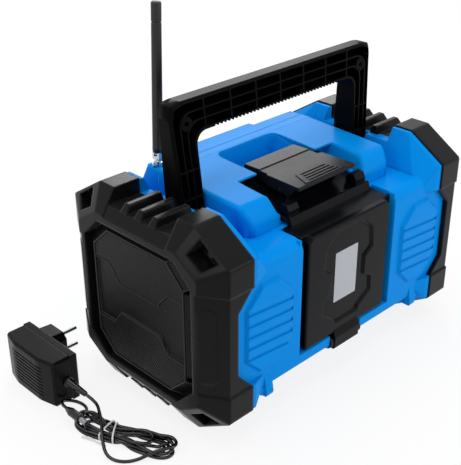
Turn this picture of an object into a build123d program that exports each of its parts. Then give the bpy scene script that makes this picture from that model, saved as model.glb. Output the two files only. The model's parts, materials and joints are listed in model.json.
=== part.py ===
"""Jobsite radio with a battery bay, a rubber antenna and a mains adaptor.

Frame: millimetres, origin on the floor under the middle of the radio, +X along the
radio, +Y out of the control side, -Y out of the battery side, +Z up.
"""

from build123d import *
import math
import os

os.makedirs("parts", exist_ok=True)

# ---------------------------------------------------------------- driving sizes
# overall form
LENGTH = 360.0  # over the rims of the two end bumpers
DEPTH = 209.0  # over the bumper flanks
HEIGHT = 209.0  # floor to bumper tops
CORNER_RUN_Y = 41.4  # the cut corner of the bumper outline, along the depth
CORNER_RUN_Z = 26.1  # and along the height

# bumpers
BUMPER_REACH = 44.1  # how far each bumper comes in from its rim
NOSE_REACH = 15.1  # the tapered stretch of it next to the rim
RIM_INSET_Y = 24.3  # how far the rim stands inside the bumper's outline
RIM_INSET_Z = 22.85
RIM_DEPTH = DEPTH - 2 * RIM_INSET_Y
RIM_HEIGHT = HEIGHT - 2 * RIM_INSET_Z
RIM_CUT_Y = 26.6
RIM_CUT_Z = 16.8
RIM_LIP_Y = 7.7  # width of the rim round the window that the grille fills
RIM_LIP_Z = 8.65
OPENING_DEPTH = RIM_DEPTH - 2 * RIM_LIP_Y
OPENING_HEIGHT = RIM_HEIGHT - 2 * RIM_LIP_Z
OPENING_CUT_Y = 21.0
OPENING_CUT_Z = 20.0
CORNER_BLOCK = 53.4  # height of the thick corner blocks, from the top or the floor
WAIST_START = 72.9  # where the thin waist between them is at its full recess
WAIST_RECESS = 17.1  # how far the waist draws back towards the rim
WAIST_STEP = 1.4  # how much thinner the waist is than the blocks
CHANNEL_HALF = 42.5  # half width of the ribbed channel between the corner blocks
CHANNEL_DROP = 14.5
RIB_DROP = 6.5  # how far the top ribs stay below the block tops
FOOT_RIB_RISE = 2.0  # how far the bottom ribs stay above the floor
RIB_PITCH = 19.0
RIB_COUNT = 3
RIB_WIDTH = 10.0
RIB_CREST = 5.6
BUMPER_EDGE = 4.0  # rounding of the long edges
WINDOW_DEPTH = 10.0
CHEEK_HEIGHT = HEIGHT - 132.0
CHEEK_WIDTH = 18.0
CAP_STEP = 1.1  # the corner blocks stand above the nose face between them
CHEEK_RISE = 0.8

# blue housing
WALL = 3.0
BODY_DEPTH = DEPTH - 13.0
BODY_BOTTOM = 36.0
BODY_TOP = HEIGHT - 37.0
SHOULDER_RADIUS = 12.0
LOWER_CHAMFER = 3.0
SEAM_Y = 56.0  # the joint between the rear and front shells
SOCKET_INSET = 6.5  # bumper skin over the end of the housing
FLANGE_INSET = 1.5  # the flange next to the bumper, below the bumper's surface
FLANGE_FOOT_X = 114.0
FLANGE_LIP_X = 131.0
PLATEAU_HALF = 103.0
PLATEAU_TOP = HEIGHT - 4.8
PLATEAU_FRONT_Y = 72.0
PLATEAU_SLOPE_Y = 45.0  # behind this line the top falls to the rear
PLATEAU_REAR_Y = -61.0
PLATEAU_REAR_Z = HEIGHT - 28.7
NOSE_OUTER = 84.0
NOSE_INNER = 57.8
NOSE_RADIUS = 6.0
HOOD_HALF = 45.0
HOOD_REACH = 9.0
RECESS_HALF = 41.0
RECESS_FRONT_Y = 42.0
RECESS_REAR_Y = 3.0
RECESS_FLOOR = HEIGHT - 26.0
RECESS_SLOPE = 4.0  # how far its walls draw in towards the floor
PAD_HALF_WIDTH = 30.5
PAD_CENTRE_X = 110.5
PAD_HEIGHT = HEIGHT - 118.0
PAD_CENTRE_Z = HEIGHT / 2
PAD_RISE = 3.2
PAD_CUT = 19.0
STEP_PITCH = 11.6  # slanted steps across the pads
STEP_COUNT = 5
STEP_HEIGHT = 8.0
STEP_DEPTH = 1.5
STEP_TILT = 5.3
FOOT_TAB_X = 104.0
FOOT_TAB_WIDTH = 11.0
FOOT_TAB_DROP = 8.3
FOOT_RIDGE = 3.0

# handle
HANDLE_HALF = 130.0
HANDLE_TOP = HEIGHT + 79.0
BAR_THICK = 30.0
LEG_THICK = 25.0
HANDLE_FRONT_Y = 15.0
HANDLE_REAR_TOP_Y = -3.4
HANDLE_REAR_FOOT_Y = -13.5
HANDLE_SKIN = 2.6
HANDLE_RIB = 1.6
HANDLE_POCKET = 11.0
HANDLE_OUTER_RADIUS = 14.0
HANDLE_INNER_RADIUS = 12.0
HANDLE_BEVEL = 3.0
HANDLE_SCREWS_Y = (-6.0, 8.0)
BAR_RIBS = 7
RIB_BAY = 31.0
LEG_RIBS = (HEIGHT + 17.0, HEIGHT - 9.0)
BOSS_X = 114.0
BOSS_Z = HANDLE_TOP - 20.0
BOSS_RADIUS = 6.5
GRIP_PITCH = 4.5
GRIP_COUNT = 36
GRIP_RADIUS = 2.0
GRIP_DEPTH = 1.6

# battery door and latch
DOOR_HALF = 59.0  # raised face
DOOR_FLANGE_HALF = 66.5
DOOR_BOTTOM = 50.5
DOOR_TOP = BODY_TOP - 2.5
DOOR_FACE_Y = -98.0
DOOR_RISE = 7.0  # raised face above its flange
DOOR_WALL = 2.6
DOOR_RELIEF = 0.8  # the raised styling outline on its face
DOOR_STEP_Y = -71.5
LIP_LEAN = 3.0  # the raised lip leans back from its foot
DOOR_LIP_TOP = HEIGHT - 28.5
DOOR_TONGUE_Y = -1.5
TONGUE_DROP = 1.8  # the door's top plate below the plateau round it
HINGE_Y = -93.4
HINGE_Z = 40.0
HINGE_HALF = 18.0
HINGE_RADIUS = 7.5
HINGE_PIN_RADIUS = 2.0
HINGE_LUG = 4.0
LATCH_HALF_REAR = 40.0
LATCH_HALF_TAIL = 34.5
LATCH_REAR_Y = -66.7
LATCH_STEP_Y = -25.0
LATCH_RIDGE_Y = -12.0  # from here to its tail it lies a little higher
LATCH_TAIL_Y = 8.8
LATCH_TOP = HEIGHT - 6.2
LATCH_PLATE = 3.3
LATCH_UNDER = LATCH_TOP - 12.3
LATCH_NIB = LATCH_TOP - 7.4  # underside of its tail, over the housing's edge
GROOVE_HALF = 17.0
LUG_OUTER = 35.0
LUG_THICK = 4.0
LATCH_PIN_Y = -42.0
LATCH_PIN_Z = LATCH_TOP - 8.8
LATCH_PIN_RADIUS = 1.5
EAR_HALF_OUT = 55.0
EAR_REAR_Y = -68.5
EAR_FRONT_Y = -56.0
EAR_TOP = DOOR_LIP_TOP + 9.5

# battery bay
BAY_HALF = 62.0
BAY_BOTTOM = 56.0
BAY_TOP = DOOR_TOP - 9.5
BAY_FRONT_Y = -26.0
BAY_WALL = 2.2
RAIL_SPACING = 52.0
RAIL_BOTTOM = 62.0
RAIL_TOP = BAY_TOP - 18.0

# speakers
SPEAKER_RADIUS = 58.0
CONE_RADIUS = 47.0
BASKET_RADIUS = 49.0
MAGNET_RADIUS = 36.0
SPEAKER_DEPTH = 42.0
BAFFLE_X = 153.0
SPEAKER_SCREW_Y = 38.2
GRILLE_PROUD = 9.6  # the grille's face beyond the lip it sits behind
PAN_SLOPE_Y = 11.0  # its side walls draw in towards the face
PAN_SLOPE_Z = 6.0
PAN_SKIN = 1.2

# antenna
ANTENNA_X = -97.0
ANTENNA_Y = 62.0
ANTENNA_PIVOT_Z = HEIGHT + 2.0
ANTENNA_LENGTH = 145.0
ANTENNA_BUSH = 4.0
ANTENNA_SPINDLE = 2.0
ANTENNA_FOOT_RADIUS = 4.9
ANTENNA_TIP_RADIUS = 3.8
ANTENNA_LEAN = 1.66  # degrees off upright, towards the middle

# front controls
PANEL_HALF = 74.0
PANEL_BOTTOM = 58.0
PANEL_TOP = BODY_TOP - 12.0
PANEL_THICK = 3.0
DISPLAY_X = -20.0
DISPLAY_Z = PANEL_TOP - 28.0
DISPLAY_WIDTH = 80.0
DISPLAY_HEIGHT = 34.0
KNOB_X = 48.0
KNOB_Z = DISPLAY_Z
KNOB_RADIUS = 16.0
KNOB_HEIGHT = 5.9
KNOB_SHAFT = 3.0
BUTTON_Z = PANEL_BOTTOM + (PANEL_TOP - PANEL_BOTTOM) / 3
BUTTON_PITCH = 20.0
BUTTON_WIDTH = 14.0
BUTTON_HEIGHT = 9.0
BUTTON_TRAVEL = 1.0
JACK_X = 0.0
JACK_Z = PANEL_BOTTOM + 13.0
JACK_BORE = 2.8
COVER_HALF = 9.0
COVER_HINGE_Z = PANEL_BOTTOM + 3.5

# mains adaptor, standing on the floor beside the radio
ADAPTOR_X = -213.6  # plane of its back, which carries the pins
ADAPTOR_THICK = 33.6
ADAPTOR_BACK = 9.0
ADAPTOR_NEAR_Y = 52.0
ADAPTOR_LENGTH = 77.4
ADAPTOR_HEIGHT = 49.8
ADAPTOR_BULGE = 5.0
ADAPTOR_SLOTS = 9
SLOT_PITCH = 3.9
PIN_Y = 101.5
PIN_Z = 30.0
PIN_SPACING = 18.6
PIN_RADIUS = 2.0
PIN_LENGTH = 19.0
PLUG_REACH = 14.0
RELIEF_LENGTH = 22.0
RELIEF_X = -227.0
RELIEF_SHIFT = 5.5  # how far its end stands over, towards the pins
RELIEF_Z = 23.6
RELIEF_DROP = 7.6  # how far its end dips below its root

# cord
CORD_DIAMETER = 3.2
DC_PLUG_RADIUS = 4.2
HANK_HEIGHT = 8.5
HANK_END = 6.0  # its height at the fanned ends
HANK_GAP = 0.6  # the tie's wire holds it this far off the floor
# middle line of the tied hank and its half width there, from the adaptor's end
HANK_LINE = ((-237.0, 16.0, 13.0), (-236.5, 0.0, 11.5), (-232.0, -17.0, 9.0), (-222.5, -34.0, 10.5),
             (-212.5, -52.0, 14.5), (-206.5, -68.0, 15.0))
TIE_WIRE = 1.6
TIE_SPREAD = 3.5  # its two turns, either side of the hank's waist
TIE_END = 26.0

# fits
FIT = 0.3  # beside a moving piece, or between curved faces
SHAFT_FIT = 0.05  # a pin or shaft in its bore
SCREW_RADIUS = 1.9
SCREW_HEAD_RADIUS = 3.6
SCREW_HEAD = 2.4

# ------------------------------------------------------------------ derived sizes
half_length = LENGTH / 2
half_depth = DEPTH / 2
mid_z = HEIGHT / 2
bumper_inner = half_length - BUMPER_REACH
nose_x = half_length - NOSE_REACH
half_body = BODY_DEPTH / 2
rear_y = -BODY_DEPTH / 2
front_y = BODY_DEPTH / 2
plateau_fall = (PLATEAU_TOP - PLATEAU_REAR_Z) / (PLATEAU_SLOPE_Y - PLATEAU_REAR_Y)


def at_x(x):
    """Sketch plane square to X: local x is +Y, local y is +Z."""
    return Plane.YZ.offset(x)


def at_y(y):
    """Sketch plane square to Y: local x is +X, local y is +Z, its normal is -Y."""
    return Plane.XZ.offset(-y)


def block(x0, x1, y0, y1, z0, z1, mode=Mode.ADD):
    """A rectangular block between two corners."""
    with Locations(((x0 + x1) / 2, (y0 + y1) / 2, (z0 + z1) / 2)):
        Box(abs(x1 - x0), abs(y1 - y0), abs(z1 - z0), mode=mode)


def plateau_z(y):
    """Height of the sloped top of the housing at a given depth."""
    return PLATEAU_TOP - plateau_fall * max(0.0, PLATEAU_SLOPE_Y - y)


def octagon(half_y, half_z, cut_y, cut_z):
    """Corner points of an upright octagon about the radio's mid height."""
    quarter = [(half_y, half_z - cut_z), (half_y - cut_y, half_z)]
    ring = []
    for sy, sz, order in ((1, 1, 1), (-1, 1, -1), (-1, -1, 1), (1, -1, -1)):
        ring += [(sy * y, mid_z + sz * z) for y, z in quarter[::order]]
    return ring


def inset_octagon(inset):
    """The bumper outline drawn in by an equal distance on every side."""
    diagonal = math.hypot(CORNER_RUN_Y, CORNER_RUN_Z)
    shrink = inset * (CORNER_RUN_Y + CORNER_RUN_Z - diagonal)
    cut_y = CORNER_RUN_Y - shrink / CORNER_RUN_Z
    cut_z = CORNER_RUN_Z - shrink / CORNER_RUN_Y
    return octagon(half_depth - inset, mid_z - inset, cut_y, cut_z)


def end_outline(inset):
    """The same outline with the channels notched into its top and bottom."""
    ring = inset_octagon(inset)
    half = CHANNEL_HALF + inset
    floor = mid_z - CHANNEL_DROP - inset
    top = mid_z - inset
    upper = [(half, mid_z + top), (half, mid_z + floor), (-half, mid_z + floor), (-half, mid_z + top)]
    lower = [(y, HEIGHT - z) for y, z in reversed(upper)]
    return ring[:2] + upper + ring[2:6] + lower + ring[6:]


# ------------------------------------------------------------------ housing form
# Side outline of the raised middle: a flat front shelf and a top that falls rearwards.
plateau_foot = BODY_TOP - SHOULDER_RADIUS
plateau_side = [
    (PLATEAU_REAR_Y, plateau_foot),
    (PLATEAU_REAR_Y, plateau_z(PLATEAU_REAR_Y)),
    (PLATEAU_SLOPE_Y, PLATEAU_TOP),
    (PLATEAU_FRONT_Y, PLATEAU_TOP - 1.0),
    (PLATEAU_FRONT_Y + 12.0, BODY_TOP + 8.0),
    (PLATEAU_FRONT_Y + 16.0, plateau_foot),
]
NOSE_START_Y = -4.0
plateau_plan = [
    (PLATEAU_HALF, half_depth),
    (PLATEAU_HALF, NOSE_START_Y),
    (NOSE_OUTER + 4.0, -42.0),
    (NOSE_OUTER, -55.0),
    (NOSE_OUTER - 6.0, PLATEAU_REAR_Y),
    (-NOSE_OUTER + 6.0, PLATEAU_REAR_Y),
    (-NOSE_OUTER, -55.0),
    (-NOSE_OUTER - 4.0, -42.0),
    (-PLATEAU_HALF, NOSE_START_Y),
    (-PLATEAU_HALF, half_depth),
]
with BuildPart() as plateau_form:
    with BuildSketch(at_x(-PLATEAU_HALF)):
        Polygon(*plateau_side, align=None)
    extrude(amount=2 * PLATEAU_HALF)
    with BuildSketch(Plane.XY):
        Polygon(*plateau_plan, align=None)
    extrude(amount=HEIGHT + 10, mode=Mode.INTERSECT)
    fillet(edges().filter_by(Axis.Z).filter_by(lambda e: e.center().Y < -50), NOSE_RADIUS)
    high = edges().filter_by(lambda e: min(v.Z for v in e.vertices()) > BODY_TOP + 5)
    chamfer(high.filter_by(lambda e: abs(e.center().X) > PLATEAU_HALF - 1), 2.2)

# The whole outside of the housing, both shells in one, still solid.
with BuildPart() as housing_form:
    with BuildSketch(at_x(-BAFFLE_X)):
        with Locations((0, (BODY_BOTTOM + BODY_TOP) / 2)):
            Rectangle(BODY_DEPTH, BODY_TOP - BODY_BOTTOM)
        fillet(vertices().group_by(Axis.Y)[-1], SHOULDER_RADIUS)
        chamfer(vertices().group_by(Axis.Y)[0], LOWER_CHAMFER)
    extrude(amount=2 * BAFFLE_X)
    for side in (-1, 1):
        # end block that plugs into the bumper
        with BuildSketch(at_x(side * (bumper_inner - FIT))):
            Polygon(*end_outline(SOCKET_INSET), align=None)
        extrude(amount=side * (BAFFLE_X - bumper_inner + FIT))
        # flange that rises from the saddle to the bumper
        with BuildSketch(at_x(side * FLANGE_FOOT_X)):
            Polygon(*octagon(front_y - 1, (BODY_TOP - BODY_BOTTOM) / 2 + 1, 14, 10), align=None)
        with BuildSketch(at_x(side * FLANGE_LIP_X)):
            Polygon(*inset_octagon(FLANGE_INSET), align=None)
        loft(ruled=True)
        with BuildSketch(at_x(side * FLANGE_LIP_X)):
            Polygon(*inset_octagon(FLANGE_INSET), align=None)
        extrude(amount=side * (bumper_inner - FIT - FLANGE_LIP_X))
    add(plateau_form.part)
    for side in (-1, 1):
        # the channel runs on over the flange, and the flange is flush with the rear at mid height
        for z0, z1 in ((HEIGHT - CHANNEL_DROP - FIT, HEIGHT + 1), (-1, CHANNEL_DROP + FIT)):
            block(side * FLANGE_FOOT_X, side * BAFFLE_X, -CHANNEL_HALF, CHANNEL_HALF, z0, z1, Mode.SUBTRACT)
        for y0, y1 in ((-half_depth, rear_y), (front_y, half_depth)):
            block(side * FLANGE_FOOT_X, side * BAFFLE_X, y0, y1, CORNER_BLOCK, HEIGHT - CORNER_BLOCK, Mode.SUBTRACT)

# The hollow inside the housing, a wall's thickness inside its surface.
cavity_end = BAFFLE_X - WALL
side_void = [
    (RECESS_REAR_Y, plateau_foot),
    (RECESS_REAR_Y, plateau_z(RECESS_REAR_Y) - WALL),
    (PLATEAU_SLOPE_Y, PLATEAU_TOP - WALL),
    (PLATEAU_FRONT_Y - WALL, PLATEAU_TOP - 1.0 - WALL),
    (PLATEAU_FRONT_Y + 8.0, BODY_TOP + 4.0),
    (PLATEAU_FRONT_Y + 9.0, plateau_foot),
]
front_void = [(RECESS_FRONT_Y + WALL, plateau_foot), (RECESS_FRONT_Y + WALL, PLATEAU_TOP - WALL)] + side_void[3:]
with BuildPart() as housing_hollow:
    with BuildSketch(at_x(-FLANGE_FOOT_X)):
        with Locations((0, (BODY_BOTTOM + BODY_TOP) / 2)):
            Rectangle(BODY_DEPTH - 2 * WALL, BODY_TOP - BODY_BOTTOM - 2 * WALL)
        fillet(vertices().group_by(Axis.Y)[-1], SHOULDER_RADIUS - WALL)
    extrude(amount=2 * FLANGE_FOOT_X)
    for side in (-1, 1):
        block(side * FLANGE_FOOT_X, side * cavity_end, rear_y + WALL, front_y - WALL,
              CORNER_BLOCK + WALL, HEIGHT - CORNER_BLOCK - WALL)
        # inside the flange and the end block, clear of the channels
        with BuildSketch(at_x(side * FLANGE_LIP_X)):
            Polygon(*end_outline(SOCKET_INSET + WALL), align=None)
        extrude(amount=side * (cavity_end - FLANGE_LIP_X))
        with BuildSketch(at_x(side * FLANGE_LIP_X)):
            Polygon(*octagon(half_depth - 9.5, mid_z - 20.5, 26, 18), align=None)
        with BuildSketch(at_x(side * (FLANGE_FOOT_X - 1))):
            Polygon(*octagon(front_y - WALL, (BODY_TOP - BODY_BOTTOM) / 2 - WALL, 14, 10), align=None)
        loft(ruled=True)
        # under the raised middle, beside the finger recess
        with BuildSketch(at_x(side * (RECESS_HALF + WALL))):
            Polygon(*side_void, align=None)
        extrude(amount=side * (PLATEAU_HALF - RECESS_HALF - 2 * WALL))
    with BuildSketch(at_x(-RECESS_HALF - WALL)):
        Polygon(*front_void, align=None)
    extrude(amount=2 * (RECESS_HALF + WALL))
    block(-RECESS_HALF - WALL, RECESS_HALF + WALL, RECESS_REAR_Y, RECESS_FRONT_Y + WALL + 1,
          plateau_foot, RECESS_FLOOR - WALL)

# ------------------------------------------------------------------ shells
well_half = DOOR_FLANGE_HALF + 1.0
bay_outer = BAY_HALF + BAY_WALL
ledge_y = DOOR_FACE_Y + DOOR_RISE + DOOR_WALL + 0.8  # what the door's seal lies on
roof_step_z = DOOR_TOP - DOOR_WALL - 0.3
tongue_well_z = BODY_TOP + FIT
bar_inner = DOOR_HALF - 2.0
hinge_slot_half = HINGE_HALF + HINGE_LUG + 0.9
hinge_back_y = HINGE_Y + HINGE_RADIUS + 2.4  # wall at the back of the hinge slot
recess_front_z = plateau_z(RECESS_FRONT_Y)
leg_inner = HANDLE_HALF - LEG_THICK
screw_y = half_depth - 26.5
screw_z = mid_z - 22.0

with BuildPart() as pads_form:
    for side in (-1, 1):
        for turn, face in ((1, rear_y), (-1, front_y)):
            with BuildSketch(at_y(face)):
                with Locations((side * PAD_CENTRE_X, PAD_CENTRE_Z)):
                    Rectangle(2 * PAD_HALF_WIDTH, PAD_HEIGHT)
                chamfer(vertices(), PAD_CUT)
            extrude(amount=turn * PAD_RISE, taper=35)
    # slanted steps, each a long slope that ends in a ledge
    tilt = math.radians(STEP_TILT)
    for side in (-1, 1):
        for i in range(STEP_COUNT):
            z = PAD_CENTRE_Z - 4.8 + STEP_PITCH * ((STEP_COUNT - 1) / 2 - i)
            with BuildSketch(Plane(origin=(side * PAD_CENTRE_X, 0, z), x_dir=(0, 1, 0),
                                   z_dir=(math.cos(tilt), 0, -math.sin(tilt)))):
                for turn in (-1, 1):
                    skin = half_body + PAD_RISE
                    Polygon((turn * skin, STEP_HEIGHT), (turn * (skin + 2), STEP_HEIGHT), (turn * (skin + 2), 0),
                            (turn * (skin - STEP_DEPTH), 0), align=None)
            extrude(amount=PAD_HALF_WIDTH - 2, both=True, mode=Mode.SUBTRACT)

with BuildPart() as housing_rear:
    add(housing_form.part)
    split(bisect_by=Plane.XZ.offset(-SEAM_Y), keep=Keep.TOP)
    add(housing_hollow.part, mode=Mode.SUBTRACT)
    # frame round the battery opening, and the step in the roof for the door's top
    block(-well_half - WALL, well_half + WALL, rear_y + 2, ledge_y + WALL, DOOR_BOTTOM - 4, BODY_TOP - 1)
    block(-well_half - WALL, well_half + WALL, ledge_y, DOOR_STEP_Y + 6, roof_step_z - 4, BODY_TOP - 1)
    block(-well_half, well_half, rear_y - 1, ledge_y, DOOR_BOTTOM - 1.7, HEIGHT, Mode.SUBTRACT)
    block(-well_half, well_half, ledge_y - 1, DOOR_STEP_Y + 3, roof_step_z, HEIGHT, Mode.SUBTRACT)
    block(-bay_outer - FIT, bay_outer + FIT, ledge_y - 1, BAY_FRONT_Y, BAY_BOTTOM - BAY_WALL - FIT,
          BAY_TOP + BAY_WALL + FIT, Mode.SUBTRACT)
    # well for the door's tongue, finger recess in front of it
    block(-NOSE_INNER, NOSE_INNER, DOOR_STEP_Y + 2, 0, tongue_well_z, HEIGHT, Mode.SUBTRACT)
    with BuildSketch(Plane.XY.offset(RECESS_FLOOR)):
        with Locations((0, (RECESS_REAR_Y + RECESS_FRONT_Y) / 2)):
            Rectangle(2 * (RECESS_HALF - RECESS_SLOPE), RECESS_FRONT_Y - RECESS_REAR_Y - 2 * RECESS_SLOPE)
        fillet(vertices(), 5)
    recess_lean = math.degrees(math.atan(RECESS_SLOPE / (PLATEAU_TOP - RECESS_FLOOR)))
    extrude(amount=PLATEAU_TOP - RECESS_FLOOR, taper=-recess_lean, mode=Mode.SUBTRACT)
    # seats of the handle's legs
    for side in (-1, 1):
        block(side * (leg_inner - FIT), side * (HANDLE_HALF + FIT), HANDLE_REAR_FOOT_Y - FIT,
              HANDLE_FRONT_Y + FIT, BODY_TOP, HEIGHT, Mode.SUBTRACT)
        block(side * (leg_inner - FIT), side * (HANDLE_HALF + FIT), HANDLE_REAR_FOOT_Y - 4,
              HANDLE_FRONT_Y + 4, BODY_TOP - 2 * WALL, BODY_TOP)
        for y in HANDLE_SCREWS_Y:
            with Locations((side * (leg_inner + LEG_THICK / 2), y, BODY_TOP - 2 * WALL)):
                Cylinder(SCREW_RADIUS + FIT, 40, mode=Mode.SUBTRACT)
    # hinge slot under the door
    block(-hinge_slot_half - WALL, hinge_slot_half + WALL, rear_y + 1, hinge_back_y + WALL, BODY_BOTTOM, DOOR_BOTTOM - 1.7)
    block(-hinge_slot_half, hinge_slot_half, rear_y - 1, hinge_back_y, BODY_BOTTOM - 8, DOOR_BOTTOM + 1, Mode.SUBTRACT)
    add(split(pads_form.part, Plane.XZ, Keep.TOP, mode=Mode.PRIVATE))
    for side in (-1, 1):
        # foot tab with its ridge
        with BuildSketch(at_y(rear_y + 12)):
            Polygon((side * FOOT_TAB_X, BODY_BOTTOM + 2), (side * FOOT_TAB_X, BODY_BOTTOM - FOOT_TAB_DROP + 1.5),
                    (side * (FOOT_TAB_X + 1.5), BODY_BOTTOM - FOOT_TAB_DROP),
                    (side * (FOOT_TAB_X + FOOT_TAB_WIDTH), BODY_BOTTOM - FOOT_TAB_DROP),
                    (side * (FOOT_TAB_X + FOOT_TAB_WIDTH + 12), BODY_BOTTOM), (side * (FOOT_TAB_X + FOOT_TAB_WIDTH + 12), BODY_BOTTOM + 2),
                    align=None)
        extrude(amount=12)
        with BuildSketch(at_x(side * (FOOT_TAB_X + 1.5))):
            Polygon((rear_y + 1, BODY_BOTTOM + 14), (rear_y, BODY_BOTTOM + 13),
                    (rear_y - FOOT_RIDGE, BODY_BOTTOM - FOOT_TAB_DROP + 3),
                    (rear_y - FOOT_RIDGE + 1, BODY_BOTTOM - FOOT_TAB_DROP), (rear_y + 1, BODY_BOTTOM - FOOT_TAB_DROP),
                    align=None)
        extrude(amount=side * (FOOT_TAB_WIDTH - 1.5))
        # speaker openings in the end walls, and holes for the bumper screws
        with Locations(Location((side * BAFFLE_X, 0, mid_z), (0, 90, 0))):
            Cylinder(BASKET_RADIUS + FIT, 20, mode=Mode.SUBTRACT)
            for y in (-screw_y, screw_y):
                for z in (-screw_z, screw_z):
                    with Locations((z, y, 0)):
                        Cylinder(SCREW_RADIUS + FIT, 20, mode=Mode.SUBTRACT)
            with GridLocations(2 * SPEAKER_SCREW_Y, 2 * SPEAKER_SCREW_Y, 2, 2):
                Cylinder(1.6, 20, mode=Mode.SUBTRACT)

with BuildPart() as housing_front:
    add(housing_form.part)
    split(bisect_by=Plane.XZ.offset(-SEAM_Y), keep=Keep.BOTTOM)
    # hood over the controls
    hood_y = PLATEAU_FRONT_Y + HOOD_REACH
    with BuildSketch(at_x(-HOOD_HALF)):
        Polygon((PLATEAU_FRONT_Y - 4, plateau_foot), (PLATEAU_FRONT_Y - 4, PLATEAU_TOP - 1.2),
                (hood_y, PLATEAU_TOP - 2.5), (hood_y + 9, BODY_TOP + 5), (hood_y + 9, plateau_foot), align=None)
    extrude(amount=2 * HOOD_HALF)
    add(housing_hollow.part, mode=Mode.SUBTRACT)
    # recess for the control panel, with a ledge behind it
    block(-PANEL_HALF - 4, PANEL_HALF + 4, front_y - 8, front_y - 2, PANEL_BOTTOM - 4, PANEL_TOP + 2)
    block(-PANEL_HALF - FIT, PANEL_HALF + FIT, front_y - PANEL_THICK, front_y + 1, PANEL_BOTTOM - FIT,
          PANEL_TOP + FIT, Mode.SUBTRACT)
    block(4 - PANEL_HALF, PANEL_HALF - 4, front_y - 9, front_y, PANEL_BOTTOM + 4, PANEL_TOP - 4, Mode.SUBTRACT)
    add(split(pads_form.part, Plane.XZ, Keep.BOTTOM, mode=Mode.PRIVATE))
    for side in (-1, 1):
        with Locations(Location((side * BAFFLE_X, 0, mid_z), (0, 90, 0))):
            Cylinder(BASKET_RADIUS + FIT, 20, mode=Mode.SUBTRACT)
            for z in (-screw_z, screw_z):
                with Locations((z, screw_y, 0)):
                    Cylinder(SCREW_RADIUS + FIT, 20, mode=Mode.SUBTRACT)
    # bore for the antenna's socket
    with Locations((ANTENNA_X, ANTENNA_Y, PLATEAU_TOP)):
        Cylinder(ANTENNA_BUSH + FIT, 32, mode=Mode.SUBTRACT)

# ------------------------------------------------------------------ bumpers
chamber_x = BAFFLE_X + FIT
lip_x = half_length - 12.0  # the inner face of the rim's lip
pocket_x = chamber_x + 4.7  # floor of the corner windows
nose_slope = NOSE_REACH / (mid_z - RIM_HEIGHT / 2)  # along X for each mm of height
window = [(half_depth - 33.0, HEIGHT - 8.4), (half_depth - 11.0, HEIGHT - 23.0),
          (half_depth - 23.2, HEIGHT - 32.6), (half_depth - 40.0, HEIGHT - 22.3)]
cap_drop = CAP_STEP * math.hypot(1.0, 1.0 / nose_slope)  # that step, measured upright
flank_slope = (half_depth - RIM_DEPTH / 2) / NOSE_REACH
flank_length = math.hypot(NOSE_REACH, half_depth - RIM_DEPTH / 2)
step_shift = WAIST_STEP * (flank_length - NOSE_REACH) / (half_depth - RIM_DEPTH / 2)
step_drop = WAIST_STEP * flank_length / NOSE_REACH

with BuildPart() as channel_ribs:
    for floor_z, crest_z in ((HEIGHT - CHANNEL_DROP, HEIGHT - RIB_DROP), (CHANNEL_DROP, FOOT_RIB_RISE)):
        edge_z = HEIGHT if floor_z > mid_z else 0.0
        with BuildSketch(at_y(RIB_PITCH * 1.5)):
            Polygon((bumper_inner - 4.9, floor_z), (bumper_inner - 3.4, crest_z),
                    (nose_x + nose_slope * abs(edge_z - crest_z), crest_z),
                    (nose_x + nose_slope * abs(edge_z - floor_z), floor_z), align=None)
        extrude(amount=RIB_PITCH * 3)
    with BuildSketch(at_x(bumper_inner - 10)):
        with GridLocations(RIB_PITCH, 0, RIB_COUNT, 1):
            Polygon((-RIB_CREST / 2, FOOT_RIB_RISE), (RIB_CREST / 2, FOOT_RIB_RISE), (RIB_WIDTH / 2, CHANNEL_DROP),
                    (RIB_WIDTH / 2, HEIGHT - CHANNEL_DROP), (RIB_CREST / 2, HEIGHT - RIB_DROP),
                    (-RIB_CREST / 2, HEIGHT - RIB_DROP), (-RIB_WIDTH / 2, HEIGHT - CHANNEL_DROP),
                    (-RIB_WIDTH / 2, CHANNEL_DROP), align=None)
    extrude(amount=BUMPER_REACH + 10, mode=Mode.INTERSECT)

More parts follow.
